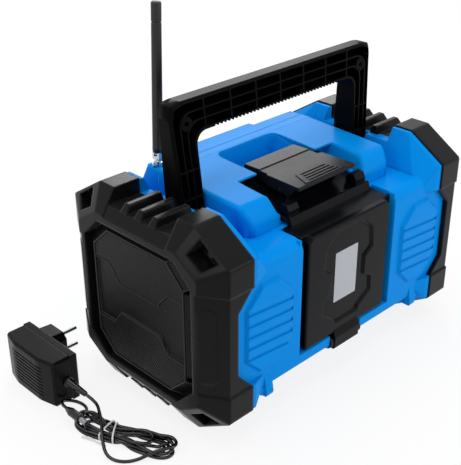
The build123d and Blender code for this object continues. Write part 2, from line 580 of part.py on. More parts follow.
with BuildPart() as bumper_right:
    with BuildSketch(at_x(bumper_inner)):
        Polygon(*inset_octagon(0), align=None)
        fillet(vertices(), BUMPER_EDGE)
    extrude(amount=nose_x - bumper_inner)
    with BuildSketch(at_x(nose_x)):
        Polygon(*inset_octagon(0), align=None)
        fillet(vertices(), BUMPER_EDGE)
    with BuildSketch(at_x(half_length)):
        Polygon(*octagon(RIM_DEPTH / 2, RIM_HEIGHT / 2, RIM_CUT_Y, RIM_CUT_Z), align=None)
        fillet(vertices(), BUMPER_EDGE)
    loft(ruled=True)
    # the nose face between the corner blocks lies a step lower
    for edge, turn in ((HEIGHT, 1), (0.0, -1)):
        with BuildSketch(at_y(CHANNEL_HALF)):
            Polygon((nose_x - CAP_STEP, edge - turn * CAP_STEP), (nose_x - CAP_STEP, edge + turn),
                    (half_length + 1, edge + turn), (half_length + 1, mid_z + turn * (RIM_HEIGHT / 2 - cap_drop)),
                    (half_length, mid_z + turn * (RIM_HEIGHT / 2 - cap_drop)),
                    (nose_x, edge - turn * cap_drop), align=None)
        extrude(amount=2 * CHANNEL_HALF, mode=Mode.SUBTRACT)
    # channels above and below, with their ribs
    block(bumper_inner - 1, half_length, -CHANNEL_HALF, CHANNEL_HALF, HEIGHT - CHANNEL_DROP, HEIGHT + 1, Mode.SUBTRACT)
    block(bumper_inner - 1, half_length, -CHANNEL_HALF, CHANNEL_HALF, -1, CHANNEL_DROP, Mode.SUBTRACT)
    add(channel_ribs.part)
    # socket for the housing, chamber for the speaker, opening for the grille
    with BuildSketch(at_x(bumper_inner - 1)):
        Polygon(*end_outline(SOCKET_INSET - FIT), align=None)
    extrude(amount=chamber_x - bumper_inner + 1, mode=Mode.SUBTRACT)
    with BuildSketch(at_x(chamber_x - 1)):
        Polygon(*octagon(OPENING_DEPTH / 2 + 3, OPENING_HEIGHT / 2 + 3, OPENING_CUT_Y, OPENING_CUT_Z), align=None)
    extrude(amount=lip_x - chamber_x + 1, mode=Mode.SUBTRACT)
    with BuildSketch(at_x(lip_x - 1)):
        Polygon(*octagon(OPENING_DEPTH / 2, OPENING_HEIGHT / 2, OPENING_CUT_Y, OPENING_CUT_Z), align=None)
    extrude(amount=BUMPER_REACH, mode=Mode.SUBTRACT)
    # thin waist between the corner blocks
    with BuildSketch(at_y(half_depth + 1)):
        Polygon((bumper_inner - 1, CORNER_BLOCK), (bumper_inner, CORNER_BLOCK), (chamber_x, WAIST_START),
                (chamber_x, HEIGHT - WAIST_START), (bumper_inner, HEIGHT - CORNER_BLOCK),
                (bumper_inner - 1, HEIGHT - CORNER_BLOCK), align=None)
    extrude(amount=DEPTH + 2, mode=Mode.SUBTRACT)
    for turn in (-1, 1):
        with BuildSketch(Plane.XY.offset(CORNER_BLOCK)):
            Polygon((bumper_inner - 1, turn * (half_depth - WAIST_STEP)),
                    (nose_x - step_shift, turn * (half_depth - WAIST_STEP)),
                    (half_length + 1, turn * (RIM_DEPTH / 2 - step_drop - flank_slope)),
                    (half_length + 1, turn * (half_depth + 1)),
                    (bumper_inner - 1, turn * (half_depth + 1)), align=None)
        extrude(amount=HEIGHT - 2 * CORNER_BLOCK, mode=Mode.SUBTRACT)
        # raised cheek panel on the slanted flank
        flank = Plane(origin=(half_length, turn * (RIM_DEPTH / 2 - step_drop), mid_z),
                      x_dir=(-NOSE_REACH, turn * (half_depth - RIM_DEPTH / 2), 0),
                      z_dir=(half_depth - RIM_DEPTH / 2, turn * NOSE_REACH, 0))
        with BuildSketch(flank):
            with Locations((1.4 + CHEEK_WIDTH / 2, 0)):
                Rectangle(CHEEK_WIDTH, CHEEK_HEIGHT)
            chamfer(vertices(), 4)
        extrude(amount=CHEEK_RISE, taper=30)
        # corner windows and the holes in their floors
        for flip in (-1, 1):
            with BuildSketch(at_x(pocket_x)):
                Polygon(*[(turn * y, mid_z + flip * (z - mid_z)) for y, z in window], align=None)
            extrude(amount=half_length, mode=Mode.SUBTRACT)
            with Locations(Location((pocket_x, turn * screw_y, mid_z + flip * screw_z), (0, 90, 0))):
                Cylinder(SCREW_RADIUS + FIT, 20, mode=Mode.SUBTRACT)

with BuildPart() as bumper_left:
    mirror(bumper_right.part, about=Plane.YZ)

with BuildPart() as bumper_screws_right:
    for y in (-screw_y, screw_y):
        for z in (-screw_z, screw_z):
            with Locations(Location((pocket_x, y, mid_z + z), (0, 90, 0))):
                Cylinder(SCREW_HEAD_RADIUS, SCREW_HEAD, align=(Align.CENTER, Align.CENTER, Align.MIN))
                Cylinder(SCREW_RADIUS, 14, align=(Align.CENTER, Align.CENTER, Align.MAX))

with BuildPart() as bumper_screws_left:
    mirror(bumper_screws_right.part, about=Plane.YZ)

# ------------------------------------------------------------------ grilles and speakers
grille_back = lip_x - 1.8
with BuildPart() as grille_right:
    with BuildSketch(at_x(grille_back)):
        Polygon(*octagon(OPENING_DEPTH / 2 + 2.5, OPENING_HEIGHT / 2 + 2.5, OPENING_CUT_Y, OPENING_CUT_Z), align=None)
    extrude(amount=1.5)
    # a pan with sloped side walls, open at the back
    for shrink, stand, mode in ((0.0, 0.0, Mode.ADD), (PAN_SKIN * 1.6, -PAN_SKIN, Mode.SUBTRACT)):
        half_y = OPENING_DEPTH / 2 - FIT - shrink
        half_z = OPENING_HEIGHT / 2 - FIT - shrink
        with BuildSketch(at_x(grille_back + stand)):
            Polygon(*octagon(half_y, half_z, OPENING_CUT_Y, OPENING_CUT_Z), align=None)
        with BuildSketch(at_x(lip_x + GRILLE_PROUD + stand)):
            Polygon(*octagon(half_y - PAN_SLOPE_Y, half_z - PAN_SLOPE_Z, OPENING_CUT_Y, OPENING_CUT_Z), align=None)
        loft(ruled=True, mode=mode)

with BuildPart() as grille_left:
    mirror(grille_right.part, about=Plane.YZ)

speaker_axis = Axis((0, 0, mid_z), (1, 0, 0))
basket_back = BAFFLE_X - 22.0
flange_x = BAFFLE_X + 2.8
with BuildPart() as speaker_frame_right:
    with BuildSketch(Plane.XY.offset(mid_z)):
        Polygon((flange_x, SPEAKER_RADIUS), (BAFFLE_X, SPEAKER_RADIUS), (BAFFLE_X, BASKET_RADIUS),
                (basket_back, MAGNET_RADIUS + 2), (basket_back, 20), (basket_back + 2, 20),
                (basket_back + 2, MAGNET_RADIUS), (flange_x, BASKET_RADIUS - 1.0), align=None)
    revolve(axis=speaker_axis)
    for y in (-1, 1):
        for z in (-1, 1):
            with Locations(Location((BAFFLE_X, y * SPEAKER_SCREW_Y, mid_z + z * SPEAKER_SCREW_Y), (0, 90, 0))):
                Cylinder(1.6, 12, mode=Mode.SUBTRACT)

with BuildPart() as speaker_cone_right:
    with BuildSketch(Plane.XY.offset(mid_z)):
        Polygon((flange_x, 50.5), (flange_x + 2.2, 48.0), (flange_x + 1, 45), (flange_x - 12.0, 15),
                (flange_x - 8.8, 0), (flange_x - 10, 0), (flange_x - 13.8, 15.2), (flange_x, 46), align=None)
    revolve(axis=speaker_axis)

with BuildPart() as speaker_magnet_right:
    with BuildSketch(Plane.XY.offset(mid_z)):
        Polygon((basket_back, 0), (basket_back, MAGNET_RADIUS), (BAFFLE_X - SPEAKER_DEPTH, MAGNET_RADIUS),
                (BAFFLE_X - SPEAKER_DEPTH, 0), align=None)
    revolve(axis=speaker_axis)

with BuildPart() as speaker_screws_right:
    for y in (-1, 1):
        for z in (-1, 1):
            with Locations(Location((flange_x, y * SPEAKER_SCREW_Y, mid_z + z * SPEAKER_SCREW_Y), (0, 90, 0))):
                Cylinder(2.6, 1.6, align=(Align.CENTER, Align.CENTER, Align.MIN))
                Cylinder(1.3, 8, align=(Align.CENTER, Align.CENTER, Align.MAX))

with BuildPart() as speaker_frame_left:
    mirror(speaker_frame_right.part, about=Plane.YZ)
with BuildPart() as speaker_cone_left:
    mirror(speaker_cone_right.part, about=Plane.YZ)
with BuildPart() as speaker_magnet_left:
    mirror(speaker_magnet_right.part, about=Plane.YZ)
with BuildPart() as speaker_screws_left:
    mirror(speaker_screws_right.part, about=Plane.YZ)

# ------------------------------------------------------------------ handle
under_z = HANDLE_TOP - BAR_THICK
handle_foot = BODY_TOP + FIT
row_bar = (BAR_THICK - 2 * HANDLE_SKIN - 2 * HANDLE_RIB) / 3
row_leg = (LEG_THICK - 2 * HANDLE_SKIN - 2 * HANDLE_RIB) / 3
pocket_foot = handle_foot + 9.0
with BuildPart() as handle_pockets:
    for row in range(3):
        out_x = HANDLE_HALF - HANDLE_SKIN - row * (row_leg + HANDLE_RIB)
        out_z = HANDLE_TOP - HANDLE_SKIN - row * (row_bar + HANDLE_RIB)
        with BuildSketch(at_y(HANDLE_FRONT_Y - HANDLE_SKIN - 1)):
            Polygon((-out_x, pocket_foot), (-out_x, out_z), (out_x, out_z), (out_x, pocket_foot), align=None)
            fillet(vertices().group_by(Axis.Y)[-1], HANDLE_OUTER_RADIUS)
        extrude(amount=40)
        with BuildSketch(at_y(HANDLE_FRONT_Y)):
            Polygon((row_leg - out_x, pocket_foot - 1), (row_leg - out_x, out_z - row_bar),
                    (out_x - row_leg, out_z - row_bar), (out_x - row_leg, pocket_foot - 1), align=None)
            fillet(vertices().group_by(Axis.Y)[-1], HANDLE_OUTER_RADIUS)
        extrude(amount=60, mode=Mode.SUBTRACT)
    # cross ribs and bosses stay solid
    for i in range(BAR_RIBS):
        x = (i - (BAR_RIBS - 1) / 2) * RIB_BAY
        block(x - HANDLE_RIB / 2, x + HANDLE_RIB / 2, -40, HANDLE_FRONT_Y, under_z, HANDLE_TOP, Mode.SUBTRACT)
    for side in (-1, 1):
        for z in LEG_RIBS:
            block(side * 98, side * HANDLE_HALF, -40, HANDLE_FRONT_Y, z - HANDLE_RIB / 2, z + HANDLE_RIB / 2,
                  Mode.SUBTRACT)
        with Locations(Location((side * BOSS_X, 0, BOSS_Z), (90, 0, 0))):
            Cylinder(BOSS_RADIUS, 80, mode=Mode.SUBTRACT)

with BuildPart() as handle:
    with BuildSketch(at_y(HANDLE_FRONT_Y)):
        Polygon((-HANDLE_HALF, handle_foot), (-HANDLE_HALF, HANDLE_TOP), (HANDLE_HALF, HANDLE_TOP),
                (HANDLE_HALF, handle_foot), align=None)
        fillet(vertices().group_by(Axis.Y)[-1], HANDLE_OUTER_RADIUS)
    extrude(amount=HANDLE_FRONT_Y - HANDLE_REAR_FOOT_Y)
    with BuildSketch(at_y(HANDLE_FRONT_Y + 1)):
        Polygon((-leg_inner, handle_foot - 1), (-leg_inner, under_z), (leg_inner, under_z),
                (leg_inner, handle_foot - 1), align=None)
        fillet(vertices().group_by(Axis.Y)[-1], HANDLE_INNER_RADIUS)
    extrude(amount=60, mode=Mode.SUBTRACT)
    # the rear leans forward towards the top
    with BuildSketch(at_x(-HANDLE_HALF - 1)):
        Polygon((HANDLE_REAR_FOOT_Y - 1, handle_foot), (HANDLE_REAR_FOOT_Y, handle_foot),
                (HANDLE_REAR_TOP_Y, HANDLE_TOP), (HANDLE_REAR_TOP_Y, HANDLE_TOP + 1),
                (HANDLE_REAR_FOOT_Y - 1, HANDLE_TOP + 1), align=None)
    extrude(amount=2 * HANDLE_HALF + 2, mode=Mode.SUBTRACT)
    # bevel along the outer edge, front and rear
    crown = edges().filter_by(lambda e: e.center().Z > HANDLE_TOP - 1 and abs(e.center().X) < 1)
    chamfer(crown, HANDLE_BEVEL)
    add(handle_pockets.part, mode=Mode.SUBTRACT)
    for side in (-1, 1):
        with Locations(Location((side * BOSS_X, HANDLE_REAR_TOP_Y - 4, BOSS_Z), (90, 0, 0))):
            Cylinder(2.2, 20, mode=Mode.SUBTRACT)
        for y in HANDLE_SCREWS_Y:
            with Locations((side * (leg_inner + LEG_THICK / 2), y, handle_foot)):
                Cylinder(SCREW_RADIUS + 0.1, 14, mode=Mode.SUBTRACT)
    # grip serrations under the bar
    teeth = []
    for i in range(GRIP_COUNT + 1):
        x = (i - GRIP_COUNT / 2) * GRIP_PITCH
        teeth += [(x - GRIP_PITCH / 2, under_z - 1), (x - GRIP_RADIUS / 2, under_z + GRIP_DEPTH),
                  (x + GRIP_RADIUS / 2, under_z + GRIP_DEPTH), (x + GRIP_PITCH / 2 - 0.2, under_z - 1)]
    with BuildSketch(at_y(HANDLE_FRONT_Y + 1)):
        Polygon(*teeth, align=None)
    extrude(amount=60, mode=Mode.SUBTRACT)

with BuildPart() as handle_screws:
    for side in (-1, 1):
        for y in HANDLE_SCREWS_Y:
            with Locations((side * (leg_inner + LEG_THICK / 2), y, BODY_TOP - 2 * WALL)):
                Cylinder(SCREW_HEAD_RADIUS, SCREW_HEAD, align=(Align.CENTER, Align.CENTER, Align.MAX))
                Cylinder(SCREW_RADIUS, 12, align=(Align.CENTER, Align.CENTER, Align.MIN))

# ------------------------------------------------------------------ battery bay
with BuildPart() as battery_bay:
    block(-bay_outer, bay_outer, ledge_y + 0.4, BAY_FRONT_Y + BAY_WALL, BAY_BOTTOM - BAY_WALL, BAY_TOP + BAY_WALL)
    block(-bay_outer - 4, bay_outer + 4, ledge_y + WALL, ledge_y + WALL + BAY_WALL, BAY_BOTTOM - 5, BAY_TOP + 1)
    block(-BAY_HALF, BAY_HALF, ledge_y - 1, BAY_FRONT_Y, BAY_BOTTOM, BAY_TOP, Mode.SUBTRACT)

with BuildPart() as battery_rails:
    for side in (-1, 1):
        block(side * RAIL_SPACING / 2, side * (RAIL_SPACING / 2 + 5), BAY_FRONT_Y - 12, BAY_FRONT_Y, RAIL_BOTTOM, RAIL_TOP)
        block(side * (RAIL_SPACING / 2 - 4), side * (RAIL_SPACING / 2 + 5), BAY_FRONT_Y - 12, BAY_FRONT_Y - 8,
              RAIL_BOTTOM, RAIL_TOP)
    block(-RAIL_SPACING / 2 - 5, RAIL_SPACING / 2 + 5, BAY_FRONT_Y - 2, BAY_FRONT_Y, RAIL_BOTTOM, RAIL_TOP)

terminal_x = (-9.0, 0.0, 9.0)
with BuildPart() as terminal_block:
    block(-15, 15, BAY_FRONT_Y - 16, BAY_FRONT_Y - 2, RAIL_BOTTOM + 8, RAIL_BOTTOM + 34)
    for x in terminal_x:
        block(x - 1.6, x + 1.6, BAY_FRONT_Y - 17, BAY_FRONT_Y - 8, RAIL_BOTTOM + 14, RAIL_BOTTOM + 36, Mode.SUBTRACT)

with BuildPart() as battery_terminals:
    for x in terminal_x:
        block(x - 0.4, x + 0.4, BAY_FRONT_Y - 15, BAY_FRONT_Y - 8, RAIL_BOTTOM + 16, RAIL_BOTTOM + 33)

# ------------------------------------------------------------------ battery door
flange_inner_y = DOOR_FACE_Y + DOOR_RISE + DOOR_WALL
tongue_z = plateau_z(DOOR_TONGUE_Y) - TONGUE_DROP
tongue_back_z = plateau_z(DOOR_STEP_Y + WALL) - TONGUE_DROP
relief_half = [(x, DOOR_BOTTOM + part * (DOOR_TOP - DOOR_BOTTOM)) for x, part in (
    (17.0, 0.092), (19.0, 0.130), (37.0, 0.223), (36.0, 0.366), (25.0, 0.416), (25.0, 0.580), (36.0, 0.643),
    (34.0, 0.836), (17.0, 0.945))]
with BuildPart() as battery_door:
    # flange and raised face
    block(-DOOR_FLANGE_HALF, DOOR_FLANGE_HALF, DOOR_FACE_Y + DOOR_RISE, flange_inner_y, DOOR_BOTTOM, DOOR_TOP)
    with BuildSketch(at_y(DOOR_FACE_Y + DOOR_RISE)):
        with Locations((0, (DOOR_BOTTOM + DOOR_TOP) / 2)):
            Rectangle(2 * DOOR_HALF, DOOR_TOP - DOOR_BOTTOM)
        chamfer(vertices().group_by(Axis.Y)[-1], 5)
    extrude(amount=DOOR_RISE)
    chamfer(faces().sort_by(Axis.Y)[0].edges(), 1.2)
    with BuildSketch(at_y(DOOR_FACE_Y)):
        Polygon(*(relief_half + [(-x, z) for x, z in reversed(relief_half)]), align=None)
    extrude(amount=DOOR_RELIEF)
    # top, stepping up to the tongue that runs in under the latch
    with BuildSketch(at_x(-DOOR_HALF - 3.5)):
        Polygon((DOOR_FACE_Y + DOOR_RISE, DOOR_TOP - DOOR_WALL), (DOOR_FACE_Y + DOOR_RISE, DOOR_TOP),
                (DOOR_STEP_Y, DOOR_TOP + 2), (DOOR_STEP_Y + DOOR_WALL, DOOR_TOP + 2),
                (DOOR_STEP_Y + DOOR_WALL, DOOR_TOP + 2 - DOOR_WALL), align=None)
    extrude(amount=2 * DOOR_HALF + 7)
    with BuildSketch(at_x(-bar_inner)):
        Polygon((DOOR_STEP_Y - LIP_LEAN, DOOR_TOP), (DOOR_STEP_Y - LIP_LEAN, DOOR_TOP + 3.2),
                (DOOR_STEP_Y, DOOR_LIP_TOP), (DOOR_STEP_Y + WALL, DOOR_LIP_TOP),
                (DOOR_STEP_Y + WALL, tongue_back_z), (DOOR_TONGUE_Y, tongue_z), (DOOR_TONGUE_Y, tongue_z - DOOR_WALL),
                (DOOR_STEP_Y + DOOR_WALL, tongue_back_z - DOOR_WALL), (DOOR_STEP_Y + DOOR_WALL, DOOR_TOP), align=None)
    extrude(amount=2 * bar_inner)
    # hollow behind the raised face
    block(DOOR_WALL - DOOR_HALF, DOOR_HALF - DOOR_WALL, DOOR_FACE_Y + DOOR_WALL, flange_inner_y,
          DOOR_BOTTOM + DOOR_WALL, DOOR_TOP - 6, Mode.SUBTRACT)
    for side in (-1, 1):
        # ears beside the latch and the lugs that carry its pin
        with BuildSketch(at_x(side * (LATCH_HALF_REAR + 1))):
            Polygon((EAR_REAR_Y, DOOR_LIP_TOP - 6), (EAR_REAR_Y, EAR_TOP - 5), (EAR_REAR_Y + 3, EAR_TOP),
                    (EAR_FRONT_Y - 3, EAR_TOP), (EAR_FRONT_Y, EAR_TOP - 5), (EAR_FRONT_Y, DOOR_LIP_TOP - 6), align=None)
        extrude(amount=side * (EAR_HALF_OUT - LATCH_HALF_REAR - 1))
        block(side * (LUG_OUTER - LUG_THICK), side * LUG_OUTER, LATCH_PIN_Y - 5, LATCH_PIN_Y + 5,
              plateau_z(LATCH_PIN_Y - 5) - TONGUE_DROP - 1, LATCH_PIN_Z + 3.5)
    with Locations(Location((0, LATCH_PIN_Y, LATCH_PIN_Z), (0, 90, 0))):
        Cylinder(LATCH_PIN_RADIUS + SHAFT_FIT, 80, mode=Mode.SUBTRACT)
    # hinge knuckle
    with Locations(Location((0, HINGE_Y, HINGE_Z), (0, 90, 0))):
        Cylinder(HINGE_RADIUS, 2 * HINGE_HALF)
    # flat front of the knuckle, square at its lower corner
    with BuildSketch(at_x(-HINGE_HALF)):
        Polygon((HINGE_Y - HINGE_RADIUS, HINGE_Z + 6), (DOOR_FACE_Y, DOOR_BOTTOM + 4), (DOOR_FACE_Y + 3, DOOR_BOTTOM + 4),
                (HINGE_Y, HINGE_Z), (HINGE_Y, HINGE_Z - HINGE_RADIUS), (HINGE_Y - HINGE_RADIUS + 2, HINGE_Z - HINGE_RADIUS),
                (HINGE_Y - HINGE_RADIUS, HINGE_Z - HINGE_RADIUS + 2), align=None)
    extrude(amount=2 * HINGE_HALF)
    block(-HINGE_HALF, HINGE_HALF, DOOR_FACE_Y + 2, flange_inner_y, HINGE_Z, DOOR_BOTTOM + 1)
    with Locations(Location((0, HINGE_Y, HINGE_Z), (0, 90, 0))):
        Cylinder(HINGE_PIN_RADIUS + SHAFT_FIT, 80, mode=Mode.SUBTRACT)

with BuildPart() as door_seal:
    block(-DOOR_FLANGE_HALF, DOOR_FLANGE_HALF, flange_inner_y, ledge_y - 0.1, DOOR_BOTTOM + 0.5, DOOR_TOP - 4)
    block(-BAY_HALF, BAY_HALF, flange_inner_y - 1, ledge_y, BAY_BOTTOM, BAY_TOP, Mode.SUBTRACT)

with BuildPart() as rating_plate:
    block(-20, 14, DOOR_FACE_Y - DOOR_RELIEF - 0.3, DOOR_FACE_Y - DOOR_RELIEF, DOOR_BOTTOM + 35.9, DOOR_TOP - 28.5)

with BuildPart() as door_hinge_bracket:
    for side in (-1, 1):
        with Locations(Location((side * (HINGE_HALF + 0.4 + HINGE_LUG / 2), HINGE_Y, HINGE_Z), (0, 90, 0))):
            Cylinder(HINGE_RADIUS - 0.8, HINGE_LUG)
        block(side * (HINGE_HALF + 0.4), side * (HINGE_HALF + 0.4 + HINGE_LUG), HINGE_Y, hinge_back_y,
              HINGE_Z - 5, HINGE_Z + 5)
    # plate that joins the lugs, above the sweep of the knuckle's lower corner
    block(-HINGE_HALF - 0.4 - HINGE_LUG, HINGE_HALF + 0.4 + HINGE_LUG, hinge_back_y - 1.6, hinge_back_y,
          HINGE_Z - 1.2, HINGE_Z + 5)
    with Locations(Location((0, HINGE_Y, HINGE_Z), (0, 90, 0))):
        Cylinder(HINGE_PIN_RADIUS + SHAFT_FIT, 80, mode=Mode.SUBTRACT)

with BuildPart() as door_hinge_pin:
    with Locations(Location((0, HINGE_Y, HINGE_Z), (0, 90, 0))):
        Cylinder(HINGE_PIN_RADIUS, 2 * (HINGE_HALF + 0.4 + HINGE_LUG))

# latch: a rocker over the tongue, hollow underneath
latch_front_z = LATCH_UNDER + 2.1
with BuildPart() as door_latch:
    with BuildSketch(at_x(-LATCH_HALF_REAR)):
        Polygon((LATCH_REAR_Y + 12, LATCH_UNDER), (LATCH_REAR_Y + 5, LATCH_TOP - LATCH_PLATE),
                (LATCH_REAR_Y, LATCH_TOP - LATCH_PLATE), (LATCH_REAR_Y, LATCH_TOP - 1.2), (LATCH_REAR_Y + 1.2, LATCH_TOP),
                (LATCH_STEP_Y - 1.2, LATCH_TOP), (LATCH_STEP_Y - 0.6, LATCH_TOP - 0.9), (LATCH_STEP_Y, LATCH_TOP - 0.9),
                (LATCH_RIDGE_Y - 1.5, LATCH_TOP - 0.6), (LATCH_RIDGE_Y, LATCH_TOP + 0.3), (LATCH_TAIL_Y - 1, LATCH_TOP - 0.4),
                (LATCH_TAIL_Y, LATCH_TOP - 1.4), (LATCH_TAIL_Y, LATCH_NIB), (-2.0, LATCH_NIB), (-2.0, latch_front_z),
                align=None)
    extrude(amount=2 * LATCH_HALF_REAR)
    with BuildSketch(Plane.XY.offset(LATCH_UNDER - 5)):
        Polygon((-LATCH_HALF_REAR, LATCH_REAR_Y), (LATCH_HALF_REAR, LATCH_REAR_Y),
                (LATCH_HALF_REAR - 1.4, LATCH_STEP_Y), (LATCH_HALF_TAIL + 1, LATCH_STEP_Y + 2),
                (LATCH_HALF_TAIL, LATCH_TAIL_Y), (-LATCH_HALF_TAIL, LATCH_TAIL_Y),
                (-LATCH_HALF_TAIL - 1, LATCH_STEP_Y + 2), (1.4 - LATCH_HALF_REAR, LATCH_STEP_Y), align=None)
    extrude(amount=40, mode=Mode.INTERSECT)
    # hollow
    with BuildSketch(Plane.XY.offset(LATCH_UNDER - 1)):
        Polygon((2.5 - LATCH_HALF_REAR, LATCH_REAR_Y - 1), (LATCH_HALF_REAR - 2.5, LATCH_REAR_Y - 1),
                (LATCH_HALF_REAR - 3.9, LATCH_STEP_Y), (LATCH_HALF_TAIL - 1.5, LATCH_STEP_Y + 1),
                (LATCH_HALF_TAIL - 2.5, -4), (2.5 - LATCH_HALF_TAIL, -4),
                (1.5 - LATCH_HALF_TAIL, LATCH_STEP_Y + 1), (3.9 - LATCH_HALF_REAR, LATCH_STEP_Y), align=None)
    extrude(amount=LATCH_TOP - LATCH_PLATE - LATCH_UNDER + 1, mode=Mode.SUBTRACT)
    # raised frame and grip grooves on its pressed end
    with BuildSketch(Plane.XY.offset(LATCH_TOP - 1)):
        Polygon((-28, LATCH_REAR_Y + 2.2), (28, LATCH_REAR_Y + 2.2), (21, LATCH_PIN_Y - 3), (-21, LATCH_PIN_Y - 3),
                align=None)
    extrude(amount=1.7)
    for i in range(4):
        half = GROOVE_HALF + i * 1.3
        block(-half, half, LATCH_PIN_Y - 7.4 - i * 4.4, LATCH_PIN_Y - 5.4 - i * 4.4, LATCH_TOP - 0.8, LATCH_TOP + 2,
              Mode.SUBTRACT)
    with Locations(Location((0, LATCH_PIN_Y, LATCH_PIN_Z), (0, 90, 0))):
        Cylinder(LATCH_PIN_RADIUS + SHAFT_FIT, 80, mode=Mode.SUBTRACT)

with BuildPart() as latch_pin:
    with Locations(Location((0, LATCH_PIN_Y, LATCH_PIN_Z), (0, 90, 0))):
        Cylinder(LATCH_PIN_RADIUS, 76)

# ------------------------------------------------------------------ controls
panel_back = front_y - PANEL_THICK
board_y = panel_back - 11.0
button_x = [(i - 2.5) * BUTTON_PITCH for i in range(6)]
with BuildPart() as control_panel:
    block(-PANEL_HALF, PANEL_HALF, panel_back, front_y, PANEL_BOTTOM, PANEL_TOP)
    chamfer(edges().filter_by(Axis.Y), 6)
    block(DISPLAY_X - DISPLAY_WIDTH / 2 - FIT, DISPLAY_X + DISPLAY_WIDTH / 2 + FIT, panel_back - 1, front_y + 1,
          DISPLAY_Z - DISPLAY_HEIGHT / 2 - FIT, DISPLAY_Z + DISPLAY_HEIGHT / 2 + FIT, Mode.SUBTRACT)
    for x in button_x:
        block(x - BUTTON_WIDTH / 2 - FIT, x + BUTTON_WIDTH / 2 + FIT, panel_back - 1, front_y + 1,
              BUTTON_Z - BUTTON_HEIGHT / 2 - FIT, BUTTON_Z + BUTTON_HEIGHT / 2 + FIT, Mode.SUBTRACT)
    for x, z, radius in ((KNOB_X, KNOB_Z, 5.5), (JACK_X, JACK_Z, 5.5)):
        with Locations(Location((x, front_y, z), (90, 0, 0))):
            Cylinder(radius, 20, mode=Mode.SUBTRACT)
    # ears of the jack cover's hinge
    for side in (-1, 1):
        block(side * (COVER_HALF - 1.6), side * (COVER_HALF + 0.6), front_y, front_y + 3.4, COVER_HINGE_Z - 2,
              COVER_HINGE_Z + 2)
    with Locations(Location((JACK_X, front_y + 1.8, COVER_HINGE_Z), (0, 90, 0))):
        Cylinder(0.8 + SHAFT_FIT, 40, mode=Mode.SUBTRACT)

with BuildPart() as display_window:
    block(DISPLAY_X - DISPLAY_WIDTH / 2, DISPLAY_X + DISPLAY_WIDTH / 2, panel_back - 1.2, front_y - 0.4,
          DISPLAY_Z - DISPLAY_HEIGHT / 2, DISPLAY_Z + DISPLAY_HEIGHT / 2)
    block(DISPLAY_X - DISPLAY_WIDTH / 2 - 2, DISPLAY_X + DISPLAY_WIDTH / 2 + 2, panel_back - 1.2, panel_back,
          DISPLAY_Z - DISPLAY_HEIGHT / 2 - 2, DISPLAY_Z + DISPLAY_HEIGHT / 2 + 2)

with BuildPart() as display_module:
    block(DISPLAY_X - DISPLAY_WIDTH / 2 + 1, DISPLAY_X + DISPLAY_WIDTH / 2 - 1, board_y + 1.6, panel_back - 1.2,
          DISPLAY_Z - DISPLAY_HEIGHT / 2 + 1, DISPLAY_Z + DISPLAY_HEIGHT / 2 - 1)

with BuildPart() as main_board:
    block(8 - PANEL_HALF, PANEL_HALF - 8, board_y, board_y + 1.6, PANEL_BOTTOM + 6, PANEL_TOP - 6)
    for x in button_x:
        block(x - 3, x + 3, board_y + 1.6, board_y + 3.6, BUTTON_Z - 3, BUTTON_Z + 3)
    post_x = PANEL_HALF - 14
    for x, z in ((-post_x, PANEL_BOTTOM + 10), (post_x, PANEL_BOTTOM + 10), (post_x, PANEL_TOP - 10),
                 (-post_x, DISPLAY_Z - DISPLAY_HEIGHT / 2 - 10)):
        block(x - 2.5, x + 2.5, board_y + 1.6, panel_back, z - 2.5, z + 2.5)

with BuildPart() as volume_encoder:
    block(KNOB_X - 6.5, KNOB_X + 6.5, board_y + 1.6, panel_back - 3, KNOB_Z - 6.5, KNOB_Z + 6.5)
    with Locations(Location((KNOB_X, panel_back - 4, KNOB_Z), (-90, 0, 0))):
        Cylinder(4.5, PANEL_THICK + 3.6, align=(Align.CENTER, Align.CENTER, Align.MIN))
    with Locations(Location((KNOB_X, board_y + 3, KNOB_Z), (-90, 0, 0))):
        Cylinder(KNOB_SHAFT + SHAFT_FIT, 20, align=(Align.CENTER, Align.CENTER, Align.MIN), mode=Mode.SUBTRACT)

with BuildPart() as volume_knob:
    with Locations(Location((KNOB_X, front_y + FIT, KNOB_Z), (-90, 0, 0))):
        Cylinder(KNOB_RADIUS, KNOB_HEIGHT, align=(Align.CENTER, Align.CENTER, Align.MIN))
        chamfer(faces().sort_by(Axis.Y)[-1].edges(), 0.8)
        with PolarLocations(KNOB_RADIUS + 0.6, 12):
            Cylinder(1.8, 30, mode=Mode.SUBTRACT)
    with Locations(Location((KNOB_X, board_y + 3.6, KNOB_Z), (-90, 0, 0))):
        Cylinder(KNOB_SHAFT, front_y + 1 - board_y - 3.6, align=(Align.CENTER, Align.CENTER, Align.MIN))

button_names = ("button_power", "button_preset_1", "button_preset_2", "button_preset_3", "button_tune_down",
                "button_tune_up")
buttons = []
for x in button_x:
    with BuildPart() as button:
        block(x - BUTTON_WIDTH / 2, x + BUTTON_WIDTH / 2, panel_back - 1, front_y + 1.6, BUTTON_Z - BUTTON_HEIGHT / 2,
              BUTTON_Z + BUTTON_HEIGHT / 2)
        chamfer(faces().sort_by(Axis.Y)[-1].edges(), 0.6)
        block(x - BUTTON_WIDTH / 2 - 1.5, x + BUTTON_WIDTH / 2 + 1.5, panel_back - 2, panel_back - FIT,
              BUTTON_Z - BUTTON_HEIGHT / 2 - 1.5, BUTTON_Z + BUTTON_HEIGHT / 2 + 1.5)
        with Locations(Location((x, panel_back - 2, BUTTON_Z), (90, 0, 0))):
            Cylinder(2, panel_back - 2 - board_y - 3.6 - BUTTON_TRAVEL - 0.2, align=(Align.CENTER, Align.CENTER, Align.MIN))
    buttons.append(button)

